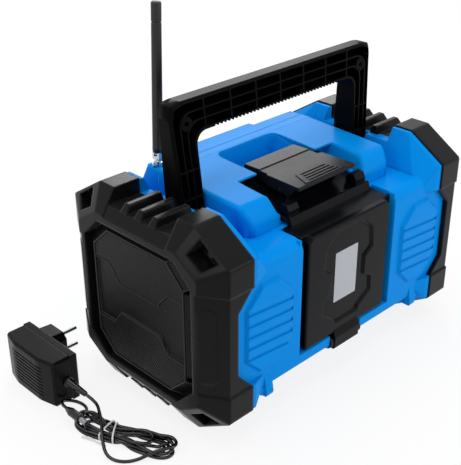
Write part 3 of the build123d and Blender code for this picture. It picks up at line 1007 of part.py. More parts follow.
with BuildPart() as dc_jack:
    block(JACK_X - 6, JACK_X + 6, board_y + 1.6, panel_back, JACK_Z - 5.5, JACK_Z + 5.5)
    with Locations(Location((JACK_X, panel_back, JACK_Z), (-90, 0, 0))):
        Cylinder(5.2, PANEL_THICK - 0.4, align=(Align.CENTER, Align.CENTER, Align.MIN))
    with Locations(Location((JACK_X, board_y + 3.6, JACK_Z), (-90, 0, 0))):
        Cylinder(JACK_BORE, 20, align=(Align.CENTER, Align.CENTER, Align.MIN), mode=Mode.SUBTRACT)
        Cylinder(1, 8, align=(Align.CENTER, Align.CENTER, Align.MIN))

with BuildPart() as jack_cover:
    block(-COVER_HALF, COVER_HALF, front_y + FIT, front_y + 2.1, COVER_HINGE_Z + 3.1, JACK_Z + 8)
    block(2.1 - COVER_HALF, COVER_HALF - 2.1, front_y + FIT, front_y + 2.1, COVER_HINGE_Z, JACK_Z + 8)
    block(-4, 4, front_y + FIT, front_y + 3.4, JACK_Z + 5.6, JACK_Z + 8)
    with Locations(Location((JACK_X, front_y + 1.8, COVER_HINGE_Z), (0, 90, 0))):
        Cylinder(1.4, 2 * (COVER_HALF - 2.1))
        Cylinder(0.8, 2 * COVER_HALF)

# ------------------------------------------------------------------ antenna
socket_top = PLATEAU_TOP + 1.8
with BuildPart() as antenna_socket:
    with Locations((ANTENNA_X, ANTENNA_Y, PLATEAU_TOP)):
        Cylinder(5.5, 1.8, align=(Align.CENTER, Align.CENTER, Align.MIN))
        Cylinder(ANTENNA_BUSH, 14, align=(Align.CENTER, Align.CENTER, Align.MAX))
    with Locations((ANTENNA_X, ANTENNA_Y, socket_top)):
        Cylinder(ANTENNA_SPINDLE + SHAFT_FIT, 10, align=(Align.CENTER, Align.CENTER, Align.MAX), mode=Mode.SUBTRACT)

with BuildPart() as antenna_knuckle:
    with Locations((ANTENNA_X, ANTENNA_Y, socket_top + FIT)):
        Cylinder(5.2, 1.5, align=(Align.CENTER, Align.CENTER, Align.MIN))
    with Locations((ANTENNA_X, ANTENNA_Y, socket_top + FIT)):
        Cylinder(ANTENNA_SPINDLE, 9, align=(Align.CENTER, Align.CENTER, Align.MAX))
    block(ANTENNA_X - 2.8, ANTENNA_X + 2.8, ANTENNA_Y - 2.2, ANTENNA_Y + 2.2, socket_top + 1, ANTENNA_PIVOT_Z)
    with Locations(Location((ANTENNA_X, ANTENNA_Y, ANTENNA_PIVOT_Z), (90, 0, 0))):
        Cylinder(2.8, 4.4)
        Cylinder(1.0 + SHAFT_FIT, 20, mode=Mode.SUBTRACT)

with BuildPart() as antenna_hinge_pin:
    with Locations(Location((ANTENNA_X, ANTENNA_Y, ANTENNA_PIVOT_Z), (90, 0, 0))):
        Cylinder(1.0, 9.4)

mast_foot = 6.2
mast_end = ANTENNA_LENGTH - 6.0
with BuildPart() as antenna_mast:
    with Locations(Location((ANTENNA_X, ANTENNA_Y, ANTENNA_PIVOT_Z), (0, ANTENNA_LEAN, 0))):
        with Locations((0, 0, mast_foot)):
            Cone(ANTENNA_FOOT_RADIUS, ANTENNA_TIP_RADIUS, mast_end - mast_foot,
                 align=(Align.CENTER, Align.CENTER, Align.MIN))
        for y in (-3.6, 3.6):
            with Locations((0, y, (mast_foot + 0.5) / 2)):
                Box(5.2, 2.2, mast_foot + 0.5)
            with Locations(Location((0, y, 0), (90, 0, 0))):
                Cylinder(2.6, 2.2)
        with Locations(Location((0, 0, 0), (90, 0, 0))):
            Cylinder(1.0 + SHAFT_FIT, 20, mode=Mode.SUBTRACT)

with BuildPart() as antenna_cap:
    with Locations(Location((ANTENNA_X, ANTENNA_Y, ANTENNA_PIVOT_Z), (0, ANTENNA_LEAN, 0))):
        with Locations((0, 0, mast_end)):
            Cylinder(ANTENNA_TIP_RADIUS + 0.7, 6, align=(Align.CENTER, Align.CENTER, Align.MIN))
            chamfer(faces().sort_by(Axis.Z)[-1].edges(), 1.2)

# ------------------------------------------------------------------ mains adaptor
adaptor_far_y = ADAPTOR_NEAR_Y + ADAPTOR_LENGTH
adaptor_mid_y = ADAPTOR_NEAR_Y + ADAPTOR_LENGTH / 2
adaptor_seam_x = ADAPTOR_X - ADAPTOR_BACK
adaptor_side_x = ADAPTOR_X - ADAPTOR_THICK
with BuildPart() as adaptor_case:
    with BuildSketch(Plane.XY):
        Polygon((adaptor_seam_x, ADAPTOR_NEAR_Y), (adaptor_seam_x, adaptor_far_y),
                (adaptor_side_x + ADAPTOR_BULGE, adaptor_far_y), (adaptor_side_x, adaptor_mid_y + ADAPTOR_LENGTH / 4),
                (adaptor_side_x, adaptor_mid_y - ADAPTOR_LENGTH / 4), (adaptor_side_x + ADAPTOR_BULGE, ADAPTOR_NEAR_Y),
                align=None)
    extrude(amount=ADAPTOR_HEIGHT)
    chamfer(edges().filter_by(lambda e: e.center().X < adaptor_seam_x - 1), 2.0)
    for i in range(ADAPTOR_SLOTS):
        z = ADAPTOR_HEIGHT / 2 + (i - (ADAPTOR_SLOTS - 1) / 2) * SLOT_PITCH
        block(adaptor_side_x - 1, adaptor_side_x + 1.6, ADAPTOR_NEAR_Y + 12, adaptor_far_y - 12, z - 0.8, z + 0.8, Mode.SUBTRACT)
    block(adaptor_side_x + ADAPTOR_BULGE + 3, adaptor_seam_x, ADAPTOR_NEAR_Y + 2.4, adaptor_far_y - 2.4, 2.4,
          ADAPTOR_HEIGHT - 2.4, Mode.SUBTRACT)

with BuildPart() as adaptor_back:
    block(adaptor_seam_x, ADAPTOR_X, ADAPTOR_NEAR_Y, adaptor_far_y, 0, ADAPTOR_HEIGHT)
    chamfer(faces().sort_by(Axis.X)[-1].edges(), 2.0)
    with BuildSketch(at_x(ADAPTOR_X)):
        with Locations((PIN_Y + 4, PIN_Z)):
            Rectangle(33, 34)
        chamfer(vertices(), 6)
    extrude(amount=PLUG_REACH, taper=4)
    for z in (-PIN_SPACING / 2, PIN_SPACING / 2):
        with Locations(Location((ADAPTOR_X + PLUG_REACH, PIN_Y, PIN_Z + z), (0, 90, 0))):
            Cylinder(PIN_RADIUS + SHAFT_FIT, 10, mode=Mode.SUBTRACT)
    block(adaptor_seam_x - 1, ADAPTOR_X - 3, ADAPTOR_NEAR_Y + 5, adaptor_far_y - 2.4, 2.4, ADAPTOR_HEIGHT - 2.4, Mode.SUBTRACT)

with BuildPart() as adaptor_pins:
    for z in (-PIN_SPACING / 2, PIN_SPACING / 2):
        with Locations(Location((ADAPTOR_X + PLUG_REACH - 5, PIN_Y, PIN_Z + z), (0, 90, 0))):
            Cylinder(PIN_RADIUS, PIN_LENGTH + 5, align=(Align.CENTER, Align.CENTER, Align.MIN))

# ------------------------------------------------------------------ cord
relief_run = math.sqrt(RELIEF_LENGTH**2 - RELIEF_SHIFT**2 - RELIEF_DROP**2)
relief_end = (RELIEF_X + RELIEF_SHIFT, ADAPTOR_NEAR_Y - relief_run, RELIEF_Z - RELIEF_DROP)
relief_way = (RELIEF_SHIFT, -relief_run, -RELIEF_DROP)
with BuildPart() as adaptor_strain_relief:
    with Locations(Plane(origin=relief_end, z_dir=relief_way)):
        Cone(4.2, 2.6, RELIEF_LENGTH + 3, align=(Align.CENTER, Align.CENTER, Align.MAX))
    block(RELIEF_X - 20, RELIEF_X + 20, ADAPTOR_NEAR_Y, ADAPTOR_NEAR_Y + 20, 0, ADAPTOR_HEIGHT, Mode.SUBTRACT)
    with Locations(Location((RELIEF_X, ADAPTOR_NEAR_Y, RELIEF_Z), (90, 0, 0))):
        Cylinder(5.4, 1.6, align=(Align.CENTER, Align.CENTER, Align.MIN))


def bend_radii(route):
    """Radius of each bend in a route: what fits its shorter neighbour run."""
    radii = []
    for before, here, after in zip(route, route[1:], route[2:]):
        run_in = Vector(*here) - Vector(*before)
        run_out = Vector(*after) - Vector(*here)
        half_turn = math.radians(run_in.get_angle(run_out)) / 2
        radii.append(min(40.0, 0.48 * min(run_in.length, run_out.length) / math.tan(half_turn)))
    return radii


# The tied hank: its outline follows the middle line, wide at both ends and narrow under the tie.
def hank_side(turn):
    """Points along one long side of the hank."""
    side = []
    for i, (x, y, half) in enumerate(HANK_LINE):
        before = HANK_LINE[max(i - 1, 0)]
        after = HANK_LINE[min(i + 1, len(HANK_LINE) - 1)]
        along = Vector(after[0] - before[0], after[1] - before[1]).normalized()
        side.append((x - turn * along.Y * half, y + turn * along.X * half))
    return side


hank_start = Vector(*HANK_LINE[0][:2])
hank_out = (hank_start - Vector(*HANK_LINE[1][:2])).normalized()
hank_across = Vector(-hank_out.Y, hank_out.X)
hank_lip = hank_start + 4.0 * hank_out  # its fanned loops reach past the first station
waist = HANK_LINE[2]
waist_way = (Vector(*HANK_LINE[3][:2]) - Vector(*HANK_LINE[1][:2])).normalized()
waist_turn = math.degrees(math.atan2(waist_way.Y, waist_way.X))
cord_z = CORD_DIAMETER / 2 + 0.2
over_z = HANK_GAP + HANK_HEIGHT + TIE_WIRE + CORD_DIAMETER / 2 + 1.0
lead_start = 13.0 / RELIEF_LENGTH  # the first run follows the relief
lead_route = [
    relief_end,
    tuple(end + lead_start * way for end, way in zip(relief_end, relief_way)),
    (-226.0, 6.0, over_z),
    (-234.5, -9.0, over_z),
    (-243.5, -20.5, over_z),
    (-251.0, -33.0, 3.5),
    (-250.5, -45.0, cord_z),
    (-243.0, -55.0, cord_z),
    (-233.5, -60.0, cord_z),
    (-225.7, -62.1, 3.0),
]
plug_z = HANK_GAP + HANK_END + DC_PLUG_RADIUS + 2.1
plug_way = Vector(0.0, -1.0, 0.0)
tail_foot = hank_lip + 1.2 * hank_out - 6.0 * hank_across
tail_route = [
    (tail_foot.X, tail_foot.Y, 4.4),
    (-222.5, 30.0, 2.0),
    (-222.5, 42.8, cord_z),
    (-233.5, 49.2, 7.0),
    (-244.5, 42.8, plug_z),
    (-244.5, 30.0, plug_z),
]
lead_radii = bend_radii(lead_route)
tail_radii = bend_radii(tail_route)
print("cord bends", [round(r, 1) for r in lead_radii + tail_radii])
with BuildPart() as cord_lead:
    with BuildLine():
        lead_path = FilletPolyline(*lead_route, radius=lead_radii)
    with BuildSketch(Plane(origin=lead_route[0], z_dir=lead_path % 0)):
        Circle(CORD_DIAMETER / 2)
    sweep(path=lead_path)
print("lead", round(cord_lead.part.volume), round(math.pi * CORD_DIAMETER**2 / 4 * lead_path.length))

with BuildPart() as cord_tail:
    with BuildLine():
        tail_path = FilletPolyline(*tail_route, radius=tail_radii)
    with BuildSketch(Plane(origin=tail_route[0], z_dir=tail_path % 0)):
        Circle(CORD_DIAMETER / 2)
    sweep(path=tail_path)
print("tail", round(cord_tail.part.volume), round(math.pi * CORD_DIAMETER**2 / 4 * tail_path.length))

hank_end_line = Vector(*HANK_LINE[-1][:2])
hank_out_far = (hank_end_line - Vector(*HANK_LINE[-2][:2])).normalized()
far_lip = hank_end_line + 5.0 * hank_out_far
far_across = Vector(-hank_out_far.Y, hank_out_far.X)
with BuildPart() as cord_hank:
    with BuildSketch(Plane.XY.offset(HANK_GAP)):
        near_lip = [hank_lip - 8.0 * hank_across, hank_lip + 8.0 * hank_across]
        rounded = [far_lip - 10.0 * far_across, far_lip + 10.0 * far_across]
        Polygon(*[(p.X, p.Y) for p in near_lip], *hank_side(-1), *[(p.X, p.Y) for p in rounded],
                *reversed(hank_side(1)), align=None)
    extrude(amount=HANK_HEIGHT)
    # lower towards its fanned ends
    with BuildSketch(at_x(-300)):
        Polygon((waist[1] + 12, HANK_GAP + HANK_HEIGHT + 0.01), (40, HANK_GAP + HANK_END), (40, 30), (-100, 30),
                (-100, HANK_GAP + HANK_END - 0.5), (waist[1] - 14, HANK_GAP + HANK_HEIGHT + 0.01), align=None)
    extrude(amount=200, mode=Mode.SUBTRACT)
    chamfer(edges().group_by(Axis.Z)[0], 1.2)

with BuildPart() as cord_tie:
    with Locations(Location((waist[0], waist[1], 0), (0, 0, waist_turn))):
        for place in (-TIE_SPREAD, TIE_SPREAD):
            with Locations((place, 0, 0)):
                Box(TIE_WIRE, 2 * (waist[2] + TIE_WIRE) + 3.0, HANK_GAP + HANK_HEIGHT + FIT + TIE_WIRE,
                    align=(Align.CENTER, Align.CENTER, Align.MIN))
                with Locations((0, 0, HANK_GAP - FIT)):
                    Box(TIE_WIRE + 1, 2 * waist[2] + 3.0, HANK_HEIGHT + 2 * FIT,
                        align=(Align.CENTER, Align.CENTER, Align.MIN), mode=Mode.SUBTRACT)
        # its twisted ends, lying along the hank
        with Locations(Location((-TIE_SPREAD, -waist[2] - 2.2, 0), (0, 0, 107.5 - waist_turn))):
            Box(TIE_END, TIE_WIRE, TIE_WIRE, align=(Align.MIN, Align.CENTER, Align.MIN))
        with Locations((0, -waist[2] - 2.2, 0)):
            Box(2 * TIE_SPREAD, TIE_WIRE, TIE_WIRE, align=(Align.CENTER, Align.CENTER, Align.MIN))

with BuildPart() as dc_plug:
    with Locations(Plane(origin=tail_route[-1], z_dir=plug_way)):
        Cone(2.4, DC_PLUG_RADIUS, 6, align=(Align.CENTER, Align.CENTER, Align.MIN))
        with Locations((0, 0, 6)):
            Cylinder(DC_PLUG_RADIUS, 14, align=(Align.CENTER, Align.CENTER, Align.MIN))

with BuildPart() as dc_plug_barrel:
    with Locations(Plane(origin=tail_route[-1], z_dir=plug_way)):
        with Locations((0, 0, 20)):
            Cylinder(JACK_BORE - 0.05, 9.5, align=(Align.CENTER, Align.CENTER, Align.MIN))
            Cylinder(1.1, 40, mode=Mode.SUBTRACT)

# ------------------------------------------------------------------ files
pieces = {
    "housing_rear": housing_rear,
    "housing_front": housing_front,
    "bumper_left": bumper_left,
    "bumper_right": bumper_right,
    "bumper_screws_left": bumper_screws_left,
    "bumper_screws_right": bumper_screws_right,
    "grille_left": grille_left,
    "grille_right": grille_right,
    "speaker_frame_left": speaker_frame_left,
    "speaker_frame_right": speaker_frame_right,
    "speaker_cone_left": speaker_cone_left,
    "speaker_cone_right": speaker_cone_right,
    "speaker_magnet_left": speaker_magnet_left,
    "speaker_magnet_right": speaker_magnet_right,
    "speaker_screws_left": speaker_screws_left,
    "speaker_screws_right": speaker_screws_right,
    "handle": handle,
    "handle_screws": handle_screws,
    "battery_bay": battery_bay,
    "battery_rails": battery_rails,
    "terminal_block": terminal_block,
    "battery_terminals": battery_terminals,
    "battery_door": battery_door,
    "door_seal": door_seal,
    "rating_plate": rating_plate,
    "door_hinge_bracket": door_hinge_bracket,
    "door_hinge_pin": door_hinge_pin,
    "door_latch": door_latch,
    "latch_pin": latch_pin,
    "control_panel": control_panel,
    "display_window": display_window,
    "display_module": display_module,
    "main_board": main_board,
    "volume_encoder": volume_encoder,
    "volume_knob": volume_knob,
    "dc_jack": dc_jack,
    "jack_cover": jack_cover,
    "antenna_socket": antenna_socket,
    "antenna_knuckle": antenna_knuckle,
    "antenna_hinge_pin": antenna_hinge_pin,
    "antenna_mast": antenna_mast,
    "antenna_cap": antenna_cap,
    "adaptor_case": adaptor_case,
    "adaptor_back": adaptor_back,
    "adaptor_pins": adaptor_pins,
    "adaptor_strain_relief": adaptor_strain_relief,
    "cord_lead": cord_lead,
    "cord_hank": cord_hank,
    "cord_tie": cord_tie,
    "cord_tail": cord_tail,
    "dc_plug": dc_plug,
    "dc_plug_barrel": dc_plug_barrel,
}
pieces.update(zip(button_names, buttons))
for name, piece in pieces.items():
    piece.part.label = name
    export_step(piece.part, f"parts/{name}.step")
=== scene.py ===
"""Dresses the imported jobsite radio: finishes, fine shapes, its cord, and the studio around it."""

import json
import logging
import math
from dataclasses import dataclass, field
from enum import Enum

import bmesh
import bpy
import numpy as np
from mathutils import Matrix, Vector

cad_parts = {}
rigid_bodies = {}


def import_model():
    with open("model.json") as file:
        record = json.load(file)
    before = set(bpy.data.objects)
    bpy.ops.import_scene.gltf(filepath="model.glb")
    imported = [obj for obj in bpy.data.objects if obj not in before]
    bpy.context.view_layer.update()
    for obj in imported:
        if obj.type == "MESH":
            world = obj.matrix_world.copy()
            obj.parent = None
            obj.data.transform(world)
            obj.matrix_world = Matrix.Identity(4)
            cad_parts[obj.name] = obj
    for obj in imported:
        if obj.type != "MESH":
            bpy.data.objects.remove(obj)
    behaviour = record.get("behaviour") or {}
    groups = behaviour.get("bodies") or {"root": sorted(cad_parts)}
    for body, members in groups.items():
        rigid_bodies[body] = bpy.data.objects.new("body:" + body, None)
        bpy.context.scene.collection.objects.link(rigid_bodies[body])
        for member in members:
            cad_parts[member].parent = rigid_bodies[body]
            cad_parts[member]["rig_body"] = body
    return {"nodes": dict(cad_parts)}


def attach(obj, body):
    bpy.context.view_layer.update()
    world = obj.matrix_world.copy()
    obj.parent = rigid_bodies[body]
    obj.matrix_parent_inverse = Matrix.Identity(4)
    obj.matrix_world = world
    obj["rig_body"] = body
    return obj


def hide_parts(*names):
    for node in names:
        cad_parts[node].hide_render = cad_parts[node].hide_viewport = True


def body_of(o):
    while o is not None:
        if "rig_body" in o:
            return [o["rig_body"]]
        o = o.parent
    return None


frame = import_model()

LOG = logging.getLogger("radio")
MM = 0.001  # lengths below are in millimetres, unless a finish or the studio says otherwise
MERGE_MM = 0.002  # corners closer than this are one corner
Spot = tuple[float, float]
Place = tuple[float, float, float]
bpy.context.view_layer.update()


# ---------------------------------------------------------------- small helpers
def linear(colour: str) -> tuple[float, float, float, float]:
    """Turns an sRGB hex colour into linear light.

    Args:
        colour: Six hex digits with a leading hash.

    Returns:
        Red, green, blue and an alpha of one.
    """
    parts = [int(colour[i : i + 2], 16) / 255 for i in (1, 3, 5)]
    light = [p / 12.92 if p <= 0.04045 else ((p + 0.055) / 1.055) ** 2.4 for p in parts]
    return (*light, 1.0)


def add_node(
    tree: bpy.types.NodeTree,
    kind: str,
    inputs: dict | None = None,
    links: dict | None = None,
    **settings: object,
) -> bpy.types.Node:
    """Adds one node to a tree.

    Args:
        tree: The shader or geometry tree.
        kind: The node's type name.
        inputs: Values by socket name or index.
        links: Output sockets by the name or index of the input they feed.
        **settings: Attributes of the node itself.

    Returns:
        The new node.
    """
    node = tree.nodes.new(kind)
    for key, value in settings.items():
        setattr(node, key, value)
    for key, value in (inputs or {}).items():
        node.inputs[key].default_value = value
    for key, socket in (links or {}).items():
        tree.links.new(socket, node.inputs[key])
    return node


# ---------------------------------------------------------------- finishes
# the colour sockets of a Mix node: two in and one out
MIX_DARK, MIX_LIGHT, MIX_RESULT = 6, 7, 2


@dataclass(frozen=True)
class Finish:
    """What every finish has, and how its material is started."""

    name: str
    colour: str
    roughness: float

    def build(self) -> bpy.types.Material:
        """Makes the material, or returns the one made before.

        Returns:
            The material.
        """
        found = bpy.data.materials.get(self.name)
        if found:
            return found
        material = bpy.data.materials.new(self.name)
        material.use_nodes = True
        self.shade(material.node_tree, material.node_tree.nodes["Principled BSDF"])
        return material

    def shade(self, tree: bpy.types.NodeTree, shader: bpy.types.Node) -> None:
        """Sets up the surface, which each kind of finish does in its own way.

        Args:
            tree: The material's tree.
            shader: Its shader.
        """
        raise NotImplementedError

    def patches(self, tree: bpy.types.NodeTree, size_mm: float) -> bpy.types.NodeSocket:
        """Adds slow patches over the surface.

        Args:
            tree: The material's tree.
            size_mm: How large a patch is.

        Returns:
            The patches, between 0 and 1.
        """
        place = add_node(tree, "ShaderNodeTexCoord")
        noise = add_node(
            tree,
            "ShaderNodeTexNoise",
            {"Scale": 1.0 / (size_mm * MM), "Detail": 3.0},
            {"Vector": place.outputs["Object"]},
        )
        return noise.outputs["Fac"]

    def vary_polish(
        self, tree: bpy.types.NodeTree, shader: bpy.types.Node, drift: bpy.types.NodeSocket, swing: float
    ) -> None:
        """Lets the roughness drift a little either way.

        Args:
            tree: The material's tree.
            shader: Its shader.
            drift: The patches it follows.
            swing: The share by which it rises and falls.
        """
        polish = add_node(
            tree,
            "ShaderNodeMapRange",
            {"To Min": self.roughness * (1 - swing), "To Max": min(1.0, self.roughness * (1 + swing))},
            {"Value": drift},
        )
        tree.links.new(polish.outputs["Result"], shader.inputs["Roughness"])


@dataclass(frozen=True)
class GrainedFinish(Finish):
    """Any surface that isn't bare metal: plastics, rubbers, glass, coats, cloth, pulp and print."""

    grain_mm: float = 0.8
    grain_depth_mm: float = 0.02
    mottle: float = 0.06
    edge_mm: float = 0.7
    ior: float = 1.5
    specular: float = 0.5
    sheen: float = 0.0
    patch_mm: float = 45.5
    polish_swing: float = 0.12

    def shade(self, tree: bpy.types.NodeTree, shader: bpy.types.Node) -> None:
        """Sets up pigment, polish and grain.

        Args:
            tree: The material's tree.
            shader: Its shader.
        """
        shader.inputs["IOR"].default_value = self.ior
        shader.inputs["Specular IOR Level"].default_value = self.specular
        shader.inputs["Sheen Weight"].default_value = self.sheen
        # slow drift of the pigment and of the mould's polish
        drift = self.patches(tree, self.patch_mm)
        base = linear(self.colour)
        dark = tuple(c * (1 - self.mottle) for c in base[:3]) + (1.0,)
        light = tuple(min(1.0, c * (1 + self.mottle)) for c in base[:3]) + (1.0,)
        mix = add_node(
            tree, "ShaderNodeMix", {MIX_DARK: dark, MIX_LIGHT: light}, {0: drift}, data_type="RGBA"
        )
        tree.links.new(mix.outputs[MIX_RESULT], shader.inputs["Base Color"])
        self.vary_polish(tree, shader, drift, self.polish_swing)
        # grain of the mould's surface over softly rounded edges
        place = add_node(tree, "ShaderNodeTexCoord")
        edge = add_node(tree, "ShaderNodeBevel", {"Radius": self.edge_mm * MM}, samples=6)
        grain = add_node(
            tree,
            "ShaderNodeTexNoise",
            {"Scale": 1.0 / (self.grain_mm * MM), "Detail": 2.0},
            {"Vector": place.outputs["Object"]},
        )
        bump = add_node(
            tree,
            "ShaderNodeBump",
            {"Strength": 1.0, "Distance": self.grain_depth_mm * MM},
            {"Height": grain.outputs["Fac"], "Normal": edge.outputs["Normal"]},
        )
        tree.links.new(bump.outputs["Normal"], shader.inputs["Normal"])


@dataclass(frozen=True)
class MetalFinish(Finish):
    """Bare, plated or blackened metal with a little surface drift."""

    edge_mm: float = 0.3
    patch_mm: float = 3.85
    polish_swing: float = 0.2

    def shade(self, tree: bpy.types.NodeTree, shader: bpy.types.Node) -> None:
        """Sets up the metal and its polish.

        Args:
            tree: The material's tree.
            shader: Its shader.
        """
        shader.inputs["Metallic"].default_value = 1.0
        shader.inputs["Base Color"].default_value = linear(self.colour)
        self.vary_polish(tree, shader, self.patches(tree, self.patch_mm), self.polish_swing)
        edge = add_node(tree, "ShaderNodeBevel", {"Radius": self.edge_mm * MM}, samples=4)
        tree.links.new(edge.outputs["Normal"], shader.inputs["Normal"])


# ABS moulded with its pigment right through: a deep even blue with a soft broad shine
BLUE_ABS = GrainedFinish(
    "moulded_blue_abs", "#0088de", roughness=0.34, grain_mm=0.5, grain_depth_mm=0.008, mottle=0.02,
    edge_mm=2.4, specular=0.03,
)
# moulded ABS full of carbon black: it takes nearly all light, and shows its polish only towards the lamps
BLACK_ABS = GrainedFinish(
    "moulded_black_abs", "#050506", roughness=0.34, grain_mm=0.6, grain_depth_mm=0.01, mottle=0.08,
    edge_mm=1.4, specular=0.035,
)
# ABS from a smoother mould: as black, with a brighter satin shine on its flats
DOOR_ABS = GrainedFinish(
    "satin_black_abs", "#08090c", roughness=0.22, grain_mm=0.7, grain_depth_mm=0.01, mottle=0.06,
    edge_mm=1.4, specular=0.09,
)
# ABS from a spark-eroded mould: its grain scatters the shine to a matt dark grey
LATCH_ABS = GrainedFinish(
    "textured_black_abs", "#0f1115", roughness=0.42, grain_mm=0.5, grain_depth_mm=0.04,
    mottle=0.05, edge_mm=0.8, specular=0.15,
)
# ABS of the adaptor's case: black, evenly satin, with soft moulded edges
ADAPTOR_ABS = GrainedFinish(
    "adaptor_black_abs", "#08090b", roughness=0.3, grain_mm=0.6, grain_depth_mm=0.02, mottle=0.05,
    edge_mm=1.6, specular=0.1,
)
# rubber moulded over the corners: a duller skin with a wide soft edge
BUMPER_TPE = GrainedFinish(
    "overmoulded_black_rubber", "#060607", roughness=0.27, grain_mm=0.7, grain_depth_mm=0.02,
    mottle=0.08, edge_mm=3.0, specular=0.1, sheen=0.06,
)
# soft-touch lacquer on knob and buttons: a matt black that holds no clear reflection
SOFT_TOUCH = GrainedFinish(
    "soft_touch_black", "#101012", roughness=0.5, grain_mm=0.4, grain_depth_mm=0.02, mottle=0.06,
    edge_mm=0.4, specular=0.3,
)
# extruded rubber sleeve of the antenna: a dark grey with one broad streak of shine
SLEEVE = GrainedFinish(
    "antenna_sleeve_rubber", "#0f1013", roughness=0.4, grain_mm=0.5, grain_depth_mm=0.02,
    mottle=0.05, edge_mm=0.4, specular=0.4,
)
# extruded PVC sheath: smooth and a little wet-looking, with a thin line of light along it
CORD_PVC = GrainedFinish(
    "black_pvc_sheath", "#050507", roughness=0.2, grain_mm=0.6, grain_depth_mm=0.005, mottle=0.06,
    edge_mm=0.2, specular=0.45,
)
# PVC over the tie's wire: a plain bright white
TIE_PVC = GrainedFinish(
    "white_tie_pvc", "#dededd", roughness=0.4, grain_mm=0.5, grain_depth_mm=0.01, mottle=0.02,
    edge_mm=0.2,
)
# powder coat on perforated steel: dull black, with the light caught on the rims of its holes
GRILLE_PAINT = GrainedFinish(
    "powder_coated_grille", "#111114", roughness=0.4, grain_mm=0.5, grain_depth_mm=0.0,
    mottle=0.05, edge_mm=0.1, specular=0.3,
)
# woven dust cloth: swallows the light, so that the holes read as black
DUST_CLOTH = GrainedFinish(
    "black_dust_cloth", "#020203", roughness=0.9, grain_mm=0.4, grain_depth_mm=0.05, mottle=0.1,
    edge_mm=0.1, specular=0.05,
)
# pressed paper pulp: fibrous and quite without shine
PULP = GrainedFinish(
    "black_pulp_cone", "#1b1a19", roughness=0.8, grain_mm=0.6, grain_depth_mm=0.05, mottle=0.15,
    edge_mm=0.2,
)
# sintered ferrite: a dark grey like slate
FERRITE = GrainedFinish(
    "ferrite_magnet", "#2c2b2a", roughness=0.6, grain_mm=0.5, grain_depth_mm=0.02, mottle=0.1,
    edge_mm=0.3,
)
# blank label foil under satin lacquer: a flat pale grey with a soft sheen
FOIL = GrainedFinish(
    "blank_satin_foil", "#a9acb2", roughness=0.35, grain_mm=0.4, grain_depth_mm=0.004, mottle=0.03,
    edge_mm=0.1, specular=0.4,
)
# pad-printed ink: flat and thin, a little off white
PRINT_WHITE = GrainedFinish(
    "pad_printed_white", "#c9cbcc", roughness=0.55, grain_mm=0.4, grain_depth_mm=0.0, mottle=0.02,
    edge_mm=0.1, specular=0.2,
)
# smoked acrylic lens over the display: near black and mirror smooth
SMOKED_LENS = GrainedFinish(
    "smoked_acrylic_lens", "#070809", roughness=0.06, grain_mm=0.5, grain_depth_mm=0.0,
    mottle=0.02, edge_mm=0.3, specular=0.35,
)
# solder mask on the circuit board: a glossy middle green
BOARD_GREEN = GrainedFinish(
    "solder_mask_green", "#0f5a2c", roughness=0.4, grain_mm=0.5, grain_depth_mm=0.01, mottle=0.08,
    edge_mm=0.1,
)
# glass of the display, unlit: a flat grey green with a clear shine
DISPLAY_GREY = GrainedFinish(
    "display_glass_grey", "#6d7a70", roughness=0.15, grain_mm=0.5, grain_depth_mm=0.0, mottle=0.03,
    edge_mm=0.1,
)
# steel with bright zinc plating: a cool grey, slightly cloudy
SCREW_ZINC = MetalFinish("zinc_plated_steel", "#8c8f94", roughness=0.35)
# blackened steel: dark, with a dull metal glint
SCREW_BLACK = MetalFinish("blackened_steel", "#26272a", roughness=0.35)
# bright nickel plating: mirrors the room with little blur
CHROME = MetalFinish("bright_nickel", "#c9cacc", roughness=0.14)
# rolled brass of the contact blades: warm yellow, softly bright
BRASS = MetalFinish("brass_blades", "#c9a257", roughness=0.3)


def dress(finish: Finish, *nodes: str) -> None:
    """Gives CAD nodes a finish.

    Args:
        finish: The finish they get.
        *nodes: Their names.
    """
    for name in nodes:
        mesh = frame["nodes"][name].data
        mesh.materials.clear()
        mesh.materials.append(finish.build())
        LOG.info("dressed %s in %s", name, finish.name)


def enter(
    name: str,
    data: bpy.types.ID,
    finish: Finish,
    like: str,
    stands_for: tuple[str, ...] = (),
) -> bpy.types.Object:
    """Enters a new piece that rides where a CAD node rides.

    Args:
        name: The piece's name.
        data: Its mesh or curve, placed in metres.
        finish: Its finish.
        like: The CAD node whose body it takes.
        stands_for: CAD nodes it stands for.

    Returns:
        The new object.
    """
    piece = bpy.data.objects.new(name, data)
    bpy.context.scene.collection.objects.link(piece)
    data.materials.clear()
    data.materials.append(finish.build())
    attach(piece, body_of(frame["nodes"][like])[0])
    if stands_for:
        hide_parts(*stands_for)
    LOG.info("made %s", name)
    return piece


def to_mesh(piece: bpy.types.Object, name: str) -> bpy.types.Mesh:
    """Turns a curve or a modified object into a plain mesh and removes the object.

    Args:
        piece: A linked object.
        name: Name of the mesh.

    Returns:
        The evaluated mesh.
    """
    graph = bpy.context.evaluated_depsgraph_get()
    mesh = bpy.data.meshes.new_from_object(piece.evaluated_get(graph), depsgraph=graph)
    mesh.name = name
    bpy.data.objects.remove(piece)
    return mesh


